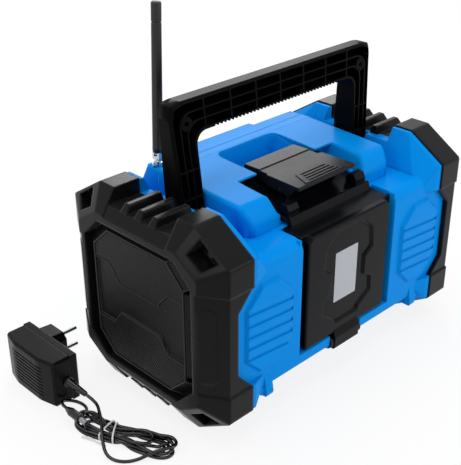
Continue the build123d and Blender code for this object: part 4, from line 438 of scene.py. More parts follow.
def tube_mesh(
    name: str, runs: list[list[Place]], radius_mm: float, closed: bool = False, sides: int = 3
) -> bpy.types.Mesh:
    """Meshes round rods along runs of points.

    Args:
        name: Name of the mesh.
        runs: Lists of points in millimetres.
        radius_mm: Radius of the rod.
        closed: Whether each run closes on itself.
        sides: Half the resolution of the section.

    Returns:
        The mesh.
    """
    curve = bpy.data.curves.new(name, "CURVE")
    curve.dimensions = "3D"
    curve.bevel_depth = radius_mm * MM
    curve.bevel_resolution = sides
    curve.use_fill_caps = not closed
    for run in runs:
        spline = curve.splines.new("POLY")
        spline.points.add(len(run) - 1)
        for point, place in zip(spline.points, run):
            point.co = (*(Vector(place) * MM), 1.0)
        spline.use_cyclic_u = closed
    holder = bpy.data.objects.new(name, curve)
    bpy.context.scene.collection.objects.link(holder)
    mesh = to_mesh(holder, name)
    for face in mesh.polygons:
        face.use_smooth = True
    return mesh


def join_meshes(name: str, meshes: list[bpy.types.Mesh]) -> bpy.types.Mesh:
    """Joins meshes that are already in place.

    Args:
        name: Name of the joined mesh.
        meshes: What to join; they are removed.

    Returns:
        The joined mesh.
    """
    whole = bmesh.new()
    for mesh in meshes:
        whole.from_mesh(mesh)
        bpy.data.meshes.remove(mesh)
    return close_form(name, whole, False)


def close_form(name: str, form: bmesh.types.BMesh, turn_out: bool = True) -> bpy.types.Mesh:
    """Turns a finished form into a mesh and frees it.

    Args:
        name: Name of the mesh.
        form: The form.
        turn_out: Whether its faces are first turned outwards.

    Returns:
        The mesh.
    """
    if turn_out:
        bmesh.ops.recalc_face_normals(form, faces=form.faces)
    mesh = bpy.data.meshes.new(name)
    form.to_mesh(mesh)
    form.free()
    return mesh


def add_slab(form: bmesh.types.BMesh, near: list[Place], far: list[Place]) -> None:
    """Adds a closed slab between two outlines of as many points.

    Args:
        form: The form it goes into.
        near: One outline in millimetres.
        far: The other.
    """
    rings = [[form.verts.new(Vector(place) * MM) for place in outline] for outline in (near, far)]
    for ring in rings:
        form.faces.new(ring)
    for k in range(len(near)):
        form.faces.new((rings[0][k - 1], rings[0][k], rings[1][k], rings[1][k - 1]))


def copy_form(node: str) -> bpy.types.Mesh:
    """Copies a CAD node's mesh and merges its faces' shared corners.

    Args:
        node: The CAD node.

    Returns:
        The copy.
    """
    form = bmesh.new()
    form.from_mesh(frame["nodes"][node].data)
    bmesh.ops.remove_doubles(form, verts=form.verts, dist=MERGE_MM * MM)
    return close_form(f"{node}_form", form, False)


def places_of(mesh: bpy.types.Mesh) -> np.ndarray:
    """Gives a mesh's corners.

    Args:
        mesh: The mesh.

    Returns:
        A row in millimetres for each corner.
    """
    spots = np.zeros(len(mesh.vertices) * 3)
    mesh.vertices.foreach_get("co", spots)
    return spots.reshape(-1, 3) / MM


def set_places(mesh: bpy.types.Mesh, spots: np.ndarray) -> None:
    """Moves a mesh's corners.

    Args:
        mesh: The mesh.
        spots: A row in millimetres for each corner.
    """
    mesh.vertices.foreach_set("co", (spots * MM).ravel())
    mesh.update()


# ---------------------------------------------------------------- cord
@dataclass(frozen=True)
class Fold:
    """One fold of the hank: reach past its station, sideways centre, radius and height, in millimetres."""

    reach: float
    centre: float
    radius: float
    height: float


@dataclass
class Cord:
    """The adaptor's cord: a lead from its relief, a tied hank of turns and a tail with the plug."""

    diameter: float = 3.2
    # the hank's middle line on the floor, and which of its stations is the waist
    stations: tuple[Spot, ...] = (
        (-237.0, 16.0), (-236.5, 0.0), (-232.0, -17.0), (-222.5, -34.0), (-212.5, -52.0), (-206.5, -68.0),
    )
    waist_station: int = 2
    # points given one by one: from the relief to the hank, over its near end, and from it to the plug
    lead: tuple[Place, ...] = (
        (-221.5, 32.1, 16.0), (-218.25, 20.34, 11.51), (-226.0, 6.0, 13.3), (-234.5, -9.0, 13.3),
        (-243.5, -20.5, 13.3), (-251.0, -33.0, 3.5), (-250.5, -45.0, 1.8), (-243.0, -55.0, 1.8),
        (-233.5, -60.0, 2.4),
    )
    crossing: tuple[Place, ...] = (
        (-224.0, -65.5, 6.8), (-214.5, -70.2, 8.6), (-206.5, -74.6, 8.2), (-199.5, -75.5, 6.6),
        (-195.3, -70.0, 5.4), (-197.5, -63.0, 5.2),
    )
    tail: tuple[Place, ...] = (
        (-231.1, 21.4, 4.4), (-222.5, 30.0, 2.0), (-222.5, 42.8, 1.8), (-233.5, 49.2, 7.0),
        (-244.5, 42.8, 12.9), (-244.5, 30.0, 12.9),
    )
    # the folds at either end, in the order they are laid
    far: tuple[Fold, ...] = (
        Fold(2.0, 0.4, 11.0, 1.9), Fold(-3.5, -0.6, 7.6, 1.9), Fold(4.5, 1.2, 10.2, 5.0),
        Fold(-4.0, 0.5, 7.8, 5.1), Fold(0.0, 3.0, 8.4, 8.0),
    )
    near: tuple[Fold, ...] = (
        Fold(-1.0, 7.0, 8.0, 2.0), Fold(1.0, -3.2, 11.6, 1.9), Fold(-5.0, -3.4, 8.2, 2.0),
        Fold(0.0, -2.0, 11.8, 5.1), Fold(-19.0, -1.0, 9.6, 8.0),
    )
    # each strand's distance aside and height at the waist, in the order they are laid
    right: tuple[Spot, ...] = ((6.6, 7.4), (8.6, 2.4), (4.4, 2.4), (6.6, 4.9), (2.2, 4.9), (2.4, 7.6))
    left: tuple[Spot, ...] = ((-8.6, 2.4), (-4.4, 2.4), (-6.6, 4.9), (-2.2, 5.0), (-5.0, 7.5))
    # where the first strand starts, from the hank's near end, and where the last one stops
    first: Place = (-6.0, 8.6, 5.2)
    last: Place = (-2.0, 4.0, 5.5)
    # how far a fold starts before its reach, as a share of its radius, and how strands are drawn
    tuck: float = 0.4
    pace: float = 6.0
    margin: float = 5.0
    fold_parts: int = 6
    # how the turns settle: spacing of points, gap between turns, and what one round mends
    step: float = 3.0
    neighbours: int = 5
    gap: float = 3.35
    rounds: int = 260
    push_share: float = 0.9
    tight_radius: float = 7.5
    ease_tight: float = 0.45
    ease_slack: float = 0.06
    even_share: float = 0.25
    floor_gap: float = 0.05
    # the tie: its wire, its two rings' shift and slant, and its twisted ends
    wire: float = 0.8
    rings: tuple[Spot, ...] = ((-4.0, 0.6), (4.2, -2.6))
    ring_parts: int = 40
    squareness: float = 0.6
    twist_foot: Spot = (-243.2, -24.6)
    twist_run: Spot = (-7.8, 25.0)
    twists: tuple[Spot, ...] = ((0.9, 0.0), (1.9, 1.3))
    twist_parts: int = 13
    twist_hump: float = 1.2
    twist_turn: float = 6.3
    # smoothing of the middle line: how far it runs on, its samples and the window's half
    beyond: float = 30.0
    samples: int = 400
    window: int = 30

    def __post_init__(self) -> None:
        """Smooths the hank's middle line."""
        spots = np.array(self.stations)
        runs = np.linalg.norm(np.diff(spots, axis=0), axis=1)
        along = np.concatenate([[0], np.cumsum(runs)])
        self.end = float(along[-1])
        self.waist = float(along[self.waist_station])
        first = spots[0] + (spots[0] - spots[1]) / runs[0] * self.beyond
        last = spots[-1] + (spots[-1] - spots[-2]) / runs[-1] * self.beyond
        knots = np.concatenate([[-self.beyond], along, [self.end + self.beyond]])
        spots = np.concatenate([[first], spots, [last]])
        self.fine = np.linspace(-self.beyond, self.end + self.beyond, self.samples)
        weights = np.hanning(2 * self.window + 1)
        weights /= weights.sum()
        smooth = []
        for k in range(2):
            raw = np.interp(self.fine, knots, spots[:, k])
            before = raw[0] + (raw[0] - raw[1]) * np.arange(self.window, 0, -1)
            after = raw[-1] + (raw[-1] - raw[-2]) * np.arange(1, self.window + 1)
            smooth.append(np.convolve(np.concatenate([before, raw, after]), weights, "valid"))
        self.middle = np.stack(smooth, 1)

    def at(self, s: float, q: float, z: float) -> np.ndarray:
        """Gives a point of the hank.

        Args:
            s: Distance along its middle line.
            q: Distance to the side of it.
            z: Height.

        Returns:
            The point in millimetres.
        """
        here = np.array([np.interp(s, self.fine, self.middle[:, k]) for k in range(2)])
        ahead = np.array([np.interp(s + 1, self.fine, self.middle[:, k]) for k in range(2)]) - here
        ahead /= np.linalg.norm(ahead)
        return np.array([here[0] - ahead[1] * q, here[1] + ahead[0] * q, z])

    def strand(self, start: Place, stop: Place, waist: Spot) -> list[np.ndarray]:
        """Runs one strand from end to end through the waist.

        Args:
            start: Distance along, distance aside and height where it starts.
            stop: The same where it stops.
            waist: Distance aside and height at the waist.

        Returns:
            Points a pace apart.
        """
        points = []
        way = 1 if stop[0] > start[0] else -1
        s = start[0] + way * self.pace
        while (stop[0] - way * self.margin - s) * way > 0:
            end = start if (s < self.waist) == (start[0] < self.waist) else stop
            share = 1 - abs(s - self.waist) / abs(end[0] - self.waist)
            # eases out of the end and into the waist
            share = share * share * (3 - 2 * share)
            points.append(
                self.at(s, end[1] + (waist[0] - end[1]) * share, end[2] + (waist[1] - end[2]) * share)
            )
            s += way * self.pace
        return points

    def fold(self, fold: Fold, s: float, way: int) -> list[np.ndarray]:
        """Runs half a circle at one end of the hank.

        Args:
            fold: Its size.
            s: Where the half circle starts.
            way: 1 at the near end and -1 at the far end.

        Returns:
            Its points.
        """
        points = []
        for k in range(self.fold_parts + 1):
            turn = math.pi * k / self.fold_parts
            side = -way * math.cos(turn)
            points.append(
                self.at(s + way * fold.radius * math.sin(turn), fold.centre + side * fold.radius, fold.height)
            )
        return points

    def lay(self) -> np.ndarray:
        """Lays the cord from the relief to the plug.

        Returns:
            Its points in millimetres.
        """
        points = [np.array(p) for p in self.lead + self.crossing]
        start = (self.end + self.first[0], *self.first[1:])
        for k, slot in enumerate(self.right):
            if k:
                near = self.near[k - 1]
                s = self.end + near.reach - near.radius * self.tuck
                points += self.fold(near, s, 1)
                start = (s, near.centre + near.radius, near.height)
            if k == len(self.far):
                points += self.strand(start, self.last, slot)
                break
            far, near = self.far[k], self.near[k]
            s = -far.reach + far.radius * self.tuck
            points += self.strand(start, (s, far.centre + far.radius, far.height), slot)
            points += self.fold(far, s, -1)
            back = self.end + near.reach - near.radius * self.tuck
            stop = (back, near.centre - near.radius, near.height)
            points += self.strand((s, far.centre - far.radius, far.height), stop, self.left[k])
        return np.array(points + [np.array(p) for p in self.tail])

    def settle(self, points: np.ndarray) -> np.ndarray:
        """Pushes turns that touch apart, and evens out the bends.

        Args:
            points: The cord as laid.

        Returns:
            Evenly spaced points.
        """
        laid = np.concatenate([[0], np.cumsum(np.linalg.norm(np.diff(points, axis=0), axis=1))])
        count = int(round(laid[-1] / self.step)) + 1
        at = np.linspace(0, laid[-1], count)
        line = np.stack([np.interp(at, laid, points[:, k]) for k in range(3)], 1)
        # lead and tail stay where they are laid, to a millimetre past their last points
        held = (at < laid[len(self.lead) - 1] + 1) | (at > laid[-len(self.tail)] - 1)
        home = line.copy()
        one, other = np.triu_indices(count, k=self.neighbours)
        limit = self.step**2 / self.tight_radius / 2
        for _ in range(self.rounds):
            apart = line[one] - line[other]
            square = (apart * apart).sum(1)
            hit = square < self.gap**2
            move, shares = np.zeros_like(line), np.zeros(count)
            far = np.sqrt(np.maximum(square[hit], 1e-6))
            push = apart[hit] / far[:, None] * ((self.gap - far) / 2)[:, None]
            np.add.at(move, one[hit], push)
            np.add.at(move, other[hit], -push)
            np.add.at(shares, one[hit], 1)
            np.add.at(shares, other[hit], 1)
            line = line + move / np.maximum(shares, 1)[:, None] * self.push_share
            bend = (line[:-2] + line[2:]) / 2 - line[1:-1]
            tight = np.linalg.norm(bend, axis=1) > limit
            line[1:-1] += bend * np.where(tight, self.ease_tight, self.ease_slack)[:, None]
            for _ in range(2):
                run = line[1:] - line[:-1]
                long = np.linalg.norm(run, axis=1)
                pull = run * ((long - self.step) / long * self.even_share)[:, None]
                line[:-1] += pull
                line[1:] -= pull
            line[:, 2] = np.maximum(line[:, 2], self.diameter / 2 + self.floor_gap)
            line[held] = home[held]
        self.loose = ~held
        return line

    def build(self) -> None:
        """Makes the cord and its tie."""
        line = self.settle(self.lay())
        free = line[self.loose]
        route = [*self.lead, *free[2:-2:2], *self.tail]
        curve = bpy.data.curves.new("adaptor_cord", "CURVE")
        curve.dimensions = "3D"
        curve.bevel_depth = self.diameter / 2 * MM
        curve.bevel_resolution = 3
        curve.resolution_u = 3
        curve.use_fill_caps = True
        spline = curve.splines.new("NURBS")
        spline.points.add(len(route) - 1)
        for point, place in zip(spline.points, route):
            point.co = (*(float(c) * MM for c in place), 1.0)
        spline.order_u = 3
        spline.use_endpoint_u = True
        cord = enter(
            "adaptor_cord", curve, CORD_PVC, "cord_lead", ("cord_lead", "cord_hank", "cord_tail")
        )
        length = self.measure(curve)
        LOG.info("cord is %.3f m long", length)
        self.tie(free)

    def measure(self, curve: bpy.types.Curve) -> float:
        """Measures a curve's middle line.

        Args:
            curve: The curve.

        Returns:
            Its length in metres, to a millimetre.
        """
        bare = bpy.data.objects.new("bare", curve.copy())
        bare.data.bevel_depth = 0
        mesh = bpy.data.meshes.new_from_object(bare)
        line = np.array([v.co for v in mesh.vertices], float)
        bpy.data.meshes.remove(mesh)
        bpy.data.curves.remove(bare.data)
        return round(float(np.linalg.norm(np.diff(line, axis=0), axis=1).sum()), 3)

    def tie(self, free: np.ndarray) -> None:
        """Wraps the twist tie round the waist.

        Args:
            free: Points of the hank's turns.
        """
        skin = self.diameter / 2 + self.wire
        rings = []
        for shift, slant in self.rings:
            ring = []
            s = self.waist + shift
            centre, side = self.at(s, 0, 0), self.at(s, 1, 0) - self.at(s, 0, 0)
            ahead = self.at(s + 1, 0, 0) - centre
            near = np.abs((free - centre) @ ahead) < self.step
            aside = (free[near] - centre) @ side
            low, high = aside.min() - skin, aside.max() + skin
            top = free[near][:, 2].max() + skin
            mid, half = (low + high) / 2, (high - low) / 2
            for k in range(self.ring_parts):
                turn = 2 * math.pi * k / self.ring_parts
                across, upward = (
                    math.copysign(abs(v) ** self.squareness, v) for v in (math.cos(turn), math.sin(turn))
                )
                q = mid + half * across
                z = (top + self.wire) / 2 + (top - self.wire) / 2 * upward
                ring.append(tuple(self.at(s + slant * (q - mid) / half, q, z)))
            rings.append(ring)
        mesh = tube_mesh("tie_rings", rings, self.wire, True)
        ends = []
        (x, y), (run_x, run_y) = self.twist_foot, self.twist_run
        for lift, bow in self.twists:
            run = []
            for k in range(self.twist_parts + 1):
                share = k / self.twist_parts
                hump = self.twist_hump * math.sin(math.pi * share)
                wave = bow * math.sin(self.twist_turn * share)
                run.append((x + run_x * share - wave, y + run_y * share, lift + hump))
            ends.append(run)
        twist = tube_mesh("tie_ends", ends, self.wire)
        enter("twist_tie", join_meshes("twist_tie", [mesh, twist]), TIE_PVC, "cord_tie", ("cord_tie",))


@dataclass
class Adaptor:
    """The mains adaptor beside the radio, with its pins, relief, plug and cord."""

    cord: Cord = field(default_factory=Cord)

    def build(self) -> None:
        """Dresses its pieces and lays its cord."""
        dress(ADAPTOR_ABS, "adaptor_case", "adaptor_back")
        dress(CHROME, "adaptor_pins")
        dress(CORD_PVC, "adaptor_strain_relief", "dc_plug")
        dress(SCREW_ZINC, "dc_plug_barrel")
        self.cord.build()


# ---------------------------------------------------------------- speaker grilles
@dataclass(frozen=True)
class SheetSize:
    """One flat field of perforated sheet, in millimetres."""

    half_u: float
    low_v: float
    high_v: float
    slant: float
    reach: float
    shear: float = 0.0


class Side(Enum):
    """Which end of the radio."""

    LEFT = -1
    RIGHT = 1


@dataclass
class Grille:
    """A pressed pan of perforated sheet behind a bumper's window."""

    side: Side
    pitch: float = 2.0
    hole: float = 0.66
    thickness: float = 0.5
    base_x: float = 168.0
    face_x: float = 177.6
    base_half: Spot = (72.2, 72.7)
    face_half: Spot = (61.2, 66.7)
    cut: Spot = (21.0, 20.0)
    centre_z: float = 104.5
    # where a wall's sheet ends under the face, as a share of the inset at its foot
    top_share: float = 0.6
    spare_columns: int = 8
    rod: float = 1.0
    bead: float = 0.55
    bead_lift: float = 0.1
    # the pressed panel: its depth, slopes and end, and each line's bend as y and z pairs
    emboss: float = 1.8
    emboss_slope: float = 1.6
    emboss_end: float = 61.0
    emboss_end_slope: float = 2.0
    upper_line: tuple[Spot, Spot] = ((26.0, 121.0), (40.0, 138.0))
    lower_line: tuple[Spot, Spot] = ((27.0, 89.0), (38.0, 74.5))
    # the cloth: how far inside the walls it lies, and behind the pan's foot and face
    cloth_inset: float = 1.2
    cloth_back: Spot = (1.6, 2.6)

    @property
    def node(self) -> str:
        """Names the CAD node that the pan stands for."""
        return f"grille_{self.side.name.lower()}"

    def corners(self, half: Spot, x: float) -> list[Vector]:
        """Lists the corners of an octagon across the pan.

        Args:
            half: Half width and half height.
            x: How far out it lies.

        Returns:
            Eight points in millimetres.
        """
        (a, b), (c, d) = half, self.cut
        flat = [(a - c, b), (a, b - d), (a, d - b), (a - c, -b)]
        flat += [(-y, -z) for y, z in flat]
        return [Vector((self.side.value * x, y, self.centre_z + z)) for y, z in flat]

    def tree(self) -> bpy.types.NodeTree:
        """Builds the sheet's Geometry Nodes tree once.

        Returns:
            The tree.
        """
        found = bpy.data.node_groups.get("perforated_sheet")
        if found:
            return found
        tree = bpy.data.node_groups.new("perforated_sheet", "GeometryNodeTree")
        face = tree.interface
        face.new_socket("Geometry", in_out="OUTPUT", socket_type="NodeSocketGeometry")
        for name in ("Pitch", "Hole", "Thickness", "Half U", "Low V", "High V", "Slant", "Reach", "Shear"):
            face.new_socket(name, in_out="INPUT", socket_type="NodeSocketFloat")
        for name in ("Columns", "Rows"):
            face.new_socket(name, in_out="INPUT", socket_type="NodeSocketInt")
        face.new_socket("Finish", in_out="INPUT", socket_type="NodeSocketMaterial")
        given = add_node(tree, "NodeGroupInput").outputs
        result = add_node(tree, "NodeGroupOutput")

        def maths(
            operation: str, a: bpy.types.NodeSocket | float, b: bpy.types.NodeSocket | float = 0.0
        ) -> bpy.types.NodeSocket:
            """Adds one sum.

            Args:
                operation: What it does.
                a: A socket or a number.
                b: The other, where it takes two.

            Returns:
                The result's socket.
            """
            numbers = {slot: value for slot, value in enumerate((a, b)) if isinstance(value, (int, float))}
            sockets = {slot: value for slot, value in enumerate((a, b)) if slot not in numbers}
            return add_node(tree, "ShaderNodeMath", numbers, sockets, operation=operation).outputs[0]

        # lattice: two grids of points, one set half a pitch over
        row = maths("MULTIPLY", given["Pitch"], math.sqrt(3))
        wide = maths("MULTIPLY", maths("SUBTRACT", given["Columns"], 1), given["Pitch"])
        tall = maths("MULTIPLY", maths("SUBTRACT", given["Rows"], 1), row)
        grid = add_node(
            tree,
            "GeometryNodeMeshGrid",
            None,
            {"Size X": wide, "Size Y": tall, "Vertices X": given["Columns"], "Vertices Y": given["Rows"]},
        )
        over = add_node(
            tree,
            "ShaderNodeCombineXYZ",
            None,
            {0: maths("MULTIPLY", given["Pitch"], 0.5), 1: maths("MULTIPLY", row, 0.5)},
        )
        shifted = add_node(
            tree, "GeometryNodeTransform", None, {"Geometry": grid.outputs[0], "Translation": over.outputs[0]}
        )
        both = add_node(tree, "GeometryNodeJoinGeometry")
        tree.links.new(grid.outputs[0], both.inputs[0])
        tree.links.new(shifted.outputs[0], both.inputs[0])
        # which points lie inside the field
        place = add_node(
            tree, "ShaderNodeSeparateXYZ", None, {0: add_node(tree, "GeometryNodeInputPosition").outputs[0]}
        )
        v = place.outputs[1]
        u = maths("ABSOLUTE", maths("ADD", place.outputs[0], maths("MULTIPLY", v, given["Shear"])))
        inside = maths("LESS_THAN", u, given["Half U"])
        for test in (
            maths("GREATER_THAN", v, given["Low V"]),
            maths("LESS_THAN", v, given["High V"]),
            maths(
                "LESS_THAN",
                maths("ADD", u, maths("MULTIPLY", maths("ABSOLUTE", v), given["Slant"])),
                given["Reach"],
            ),
        ):
            inside = maths("MULTIPLY", inside, test)
        # one cell: a six-sided ring with the wall of its hole
        ring = add_node(
            tree,
            "GeometryNodeMeshCircle",
            {"Vertices": 6},
            {"Radius": maths("DIVIDE", given["Pitch"], math.sqrt(3))},
            fill_type="NGON",
        )
        turned = add_node(
            tree, "GeometryNodeTransform", {"Rotation": (0, 0, math.pi / 6)}, {"Geometry": ring.outputs[0]}
        )
        lip = add_node(
            tree, "GeometryNodeExtrudeMesh", {"Offset Scale": 0.0}, {"Mesh": turned.outputs[0]}, mode="FACES"
        )
        drawn = add_node(
            tree,
            "GeometryNodeScaleElements",
            None,
            {"Geometry": lip.outputs[0], "Selection": lip.outputs[1], "Scale": given["Hole"]},
        )
        wall = add_node(
            tree,
            "GeometryNodeExtrudeMesh",
            None,
            {
                "Mesh": drawn.outputs[0],
                "Selection": lip.outputs[1],
                "Offset Scale": maths("MULTIPLY", given["Thickness"], -1),
            },
            mode="FACES",
        )
        cell = add_node(
            tree,
            "GeometryNodeDeleteGeometry",
            None,
            {"Geometry": wall.outputs[0], "Selection": wall.outputs[1]},
            domain="FACE",
        )
        spread = add_node(
            tree,
            "GeometryNodeInstanceOnPoints",
            None,
            {"Points": both.outputs[0], "Selection": inside, "Instance": cell.outputs[0]},
        )
        real = add_node(tree, "GeometryNodeRealizeInstances", None, {0: spread.outputs[0]})
        coat = add_node(
            tree, "GeometryNodeSetMaterial", None, {"Geometry": real.outputs[0], "Material": given["Finish"]}
        )
        tree.links.new(coat.outputs[0], result.inputs[0])
        return tree

    def sheet(self, name: str, size: SheetSize, place: Matrix) -> bpy.types.Mesh:
        """Makes one field of perforated sheet.

        Args:
            name: Name of the mesh.
            size: Its outline.
            place: Where its middle lies, in metres.

        Returns:
            The mesh in place.
        """
        holder = bpy.data.objects.new(name, bpy.data.meshes.new(name))
        bpy.context.scene.collection.objects.link(holder)
        live = holder.modifiers.new("sheet", "NODES")
        live.node_group = self.tree()
        sockets = {
            item.name: item.identifier
            for item in live.node_group.interface.items_tree
            if item.in_out == "INPUT"
        }
        tall = max(abs(size.low_v), abs(size.high_v))
        # the face's grid spans its width, and a wall's spans half its reach and some columns more
        if size.low_v < 0:
            columns = 2 * math.ceil(size.half_u / self.pitch) + 3
        else:
            columns = 2 * math.ceil(size.reach / self.pitch / 2 + self.spare_columns) + 1
        values = {
            "Pitch": self.pitch * MM,
            "Hole": self.hole,
            "Thickness": self.thickness * MM,
            "Half U": size.half_u * MM,
            "Low V": size.low_v * MM,
            "High V": size.high_v * MM,
            "Slant": size.slant,
            "Reach": size.reach * MM,
            "Shear": size.shear,
            "Columns": columns,
            "Rows": 2 * math.ceil(tall / self.pitch / math.sqrt(3)) + 3,
            "Finish": GRILLE_PAINT.build(),
        }
        for key, value in values.items():
            live[sockets[key]] = value
        mesh = to_mesh(holder, name)
        mesh.transform(place)
        return mesh

    def press(self, mesh: bpy.types.Mesh) -> None:
        """Presses the bow-tie panel into the face.

        Args:
            mesh: The face field, in place.
        """
        spots = places_of(mesh)
        y, z = np.abs(spots[:, 1]), spots[:, 2]
        top, bottom = (np.interp(y, *zip(*line)) for line in (self.upper_line, self.lower_line))
        slope = np.clip(np.minimum(top - z, z - bottom) / self.emboss_slope, 0, 1)
        end = np.clip((self.emboss_end - y) / self.emboss_end_slope, 0, 1)
        spots[:, 0] -= self.side.value * self.emboss * slope * end
        set_places(mesh, spots)

    def add_piece(self, part: str, mesh: bpy.types.Mesh, finish: Finish) -> None:
        """Enters one piece of the pan.

        Args:
            part: What it is.
            mesh: Its mesh.
            finish: Its finish.
        """
        enter(f"{self.node}_{part}", mesh, finish, self.node, (self.node,))

    def make_face(self) -> None:
        """Makes the perforated face with its pressed panel."""
        (a, b), (c, d) = self.face_half, self.cut
        inset, slant = self.pitch / 2, c / d
        # u runs along y and v runs up
        up, out = Vector((0, 0, 1)), Vector((self.side.value, 0, 0))
        turn = Matrix((up.cross(out), up, out)).transposed().to_4x4()
        reach = a - c + slant * b - inset * math.hypot(1, slant)
        size = SheetSize(a - inset, inset - b, b - inset, slant, reach)
        middle = Vector((self.side.value * self.face_x, 0, self.centre_z)) * MM
        face = self.sheet(f"{self.node}_face", size, Matrix.Translation(middle) @ turn)
        self.press(face)
        self.add_piece("face", face, GRILLE_PAINT)

    def make_beads(self) -> None:
        """Lays fine beads along the pressed panel's two lines."""
        x = self.side.value * (self.face_x + self.bead_lift)
        beads = []
        for near, far in (self.upper_line, self.lower_line):
            half = [(self.emboss_end, far[1]), far, near]
            run = [*half, *((-y, z) for y, z in reversed(half))]
            beads.append([(x, y, z) for y, z in run])
        self.add_piece("beads", tube_mesh(f"{self.node}_beads", beads, self.bead), GRILLE_PAINT)

    def make_walls(self) -> None:
        """Makes the eight sloping walls of perforated sheet."""
        foot, brow = self.corners(self.base_half, self.base_x), self.corners(self.face_half, self.face_x)
        inset = self.pitch / 2
        walls = []
        for k in range(8):
            p0, p1, q1, q0 = foot[k], foot[(k + 1) % 8], brow[(k + 1) % 8], brow[k]
            along = (p1 - p0).normalized()
            rise = (q0 + q1 - p0 - p1) / 2
            slide = rise.dot(along)
            up = rise - along * slide
            tall = up.length
            up.normalize()
            normal = along.cross(up)
            if normal.x * self.side.value < 0:
                along, normal, slide = -along, -normal, -slide
            low, high = (p1 - p0).length / 2, (q1 - q0).length / 2
            turn = Matrix((along, up, normal)).transposed().to_4x4()
            slope = (low - high) / tall
            high_v = tall - inset * self.top_share
            size = SheetSize(low, inset, high_v, slope, low - inset, -slide / tall)
            place = Matrix.Translation((p0 + p1) / 2 * MM) @ turn
            walls.append(self.sheet(f"{self.node}_wall_{k}", size, place))
        self.add_piece("walls", join_meshes(f"{self.node}_walls", walls), GRILLE_PAINT)

    def make_edges(self) -> None:
        """Makes the rolled edges round foot and face, and along the walls' corners."""
        foot, brow = self.corners(self.base_half, self.base_x), self.corners(self.face_half, self.face_x)
        edges = tube_mesh(f"{self.node}_edges", [foot, brow], self.rod, True)
        ribs = tube_mesh(f"{self.node}_ribs", [[p, q] for p, q in zip(foot, brow)], self.rod)
        self.add_piece("edges", join_meshes(f"{self.node}_edges", [edges, ribs]), GRILLE_PAINT)

    def make_cloth(self) -> None:
        """Hangs the dust cloth close behind the sheet."""
        form = bmesh.new()
        rings = []
        for half, x, back in zip(
            (self.base_half, self.face_half), (self.base_x, self.face_x), self.cloth_back
        ):
            inner = (half[0] - self.cloth_inset, half[1] - self.cloth_inset)
            rings.append([form.verts.new(p * MM) for p in self.corners(inner, x - back)])
        low, high = rings
        for k in range(8):
            form.faces.new((low[k], low[(k + 1) % 8], high[(k + 1) % 8], high[k]))
        form.faces.new(high)
        self.add_piece("cloth", close_form(f"{self.node}_cloth", form), DUST_CLOTH)

    def build(self) -> None:
        """Makes the pan, piece by piece."""
        self.make_face()
        self.make_beads()
        self.make_walls()
        self.make_edges()
        self.make_cloth()


@dataclass
class SpeakerEnd:
    """One end of the radio: rubber bumper and screws, the speaker in it and the grille over that."""

    side: Side

    def build(self) -> None:
        """Dresses the end's nodes and makes its grille."""
        end = self.side.name.lower()
        dress(BUMPER_TPE, f"bumper_{end}")
        dress(SCREW_ZINC, f"bumper_screws_{end}", f"speaker_screws_{end}")
        dress(BLACK_ABS, f"speaker_frame_{end}")
        dress(PULP, f"speaker_cone_{end}")
        dress(FERRITE, f"speaker_magnet_{end}")
        Grille(self.side).build()


# ---------------------------------------------------------------- battery bay and door
@dataclass
class BatteryBay:
    """The bay behind the door: liner, rails and the terminal block with its blades."""

    def build(self) -> None:
        """Dresses its nodes."""
        dress(BLACK_ABS, "battery_bay", "battery_rails", "terminal_block")
        dress(BRASS, "battery_terminals")


@dataclass
class BatteryDoor:
    """The battery door with its styled panel sunk in its face, the blank foil on that, hinge and latch."""

    # the panel's flat: where the CAD node has it, the face it sinks into, how deep it goes, how far
    # its sides slope in, and its middle height and half size
    panel_y: float = -98.8
    face_y: float = -98.0
    sunk: float = 2.3
    slope: float = 2.6
    middle_z: float = 110.0
    half: Spot = (37.0, 51.0)
    tolerance: float = 0.05
    # the foil plate: left, right, low and high, and how it is made
    foil: tuple[float, float, float, float] = (-18.1, 14.5, 84.5, 138.3)
    foil_thick: float = 0.3
    foil_lift: float = 0.05
    foil_corner: float = 1.2
    corner_parts: int = 4

    def build(self) -> None:
        """Dresses what hangs on the door, sinks its panel and lays its foil."""
        dress(BLACK_ABS, "door_seal")
        dress(SCREW_BLACK, "door_hinge_bracket", "door_hinge_pin")
        dress(LATCH_ABS, "door_latch")
        dress(SCREW_ZINC, "latch_pin")
        self.sink_panel()
        self.lay_foil()

    def sink_panel(self) -> None:
        """Sinks the panel's flat into the face, with sloping sides round it."""
        mesh = copy_form("battery_door")
        spots = places_of(mesh)
        panel = np.abs(spots[:, 1] - self.panel_y) < self.tolerance
        spots[panel, 1] = self.face_y + self.sunk
        spots[panel, 0] *= 1 - self.slope / self.half[0]
        up = spots[panel, 2] - self.middle_z
        spots[panel, 2] = self.middle_z + up * (1 - self.slope / self.half[1])
        LOG.info("sank %d corners of the door's panel", int(panel.sum()))
        set_places(mesh, spots)
        enter("door_shell", mesh, DOOR_ABS, "battery_door", ("battery_door",))

    def lay_foil(self) -> None:
        """Makes the blank plate with its rounded corners."""
        left, right, low, high = self.foil
        r = self.foil_corner
        middles = ((right - r, high - r), (left + r, high - r), (left + r, low + r), (right - r, low + r))
        outline = []
        for quarter, (x, z) in enumerate(middles):
            for k in range(self.corner_parts + 1):
                turn = math.pi / 2 * (quarter + k / self.corner_parts)
                outline.append((x + r * math.cos(turn), z + r * math.sin(turn)))
        back = self.face_y + self.sunk + self.foil_lift
        form = bmesh.new()
        add_slab(form, *([(x, y, z) for x, z in outline] for y in (back, back - self.foil_thick)))
        enter("door_foil", close_form("door_foil", form), FOIL, "rating_plate", ("rating_plate",))


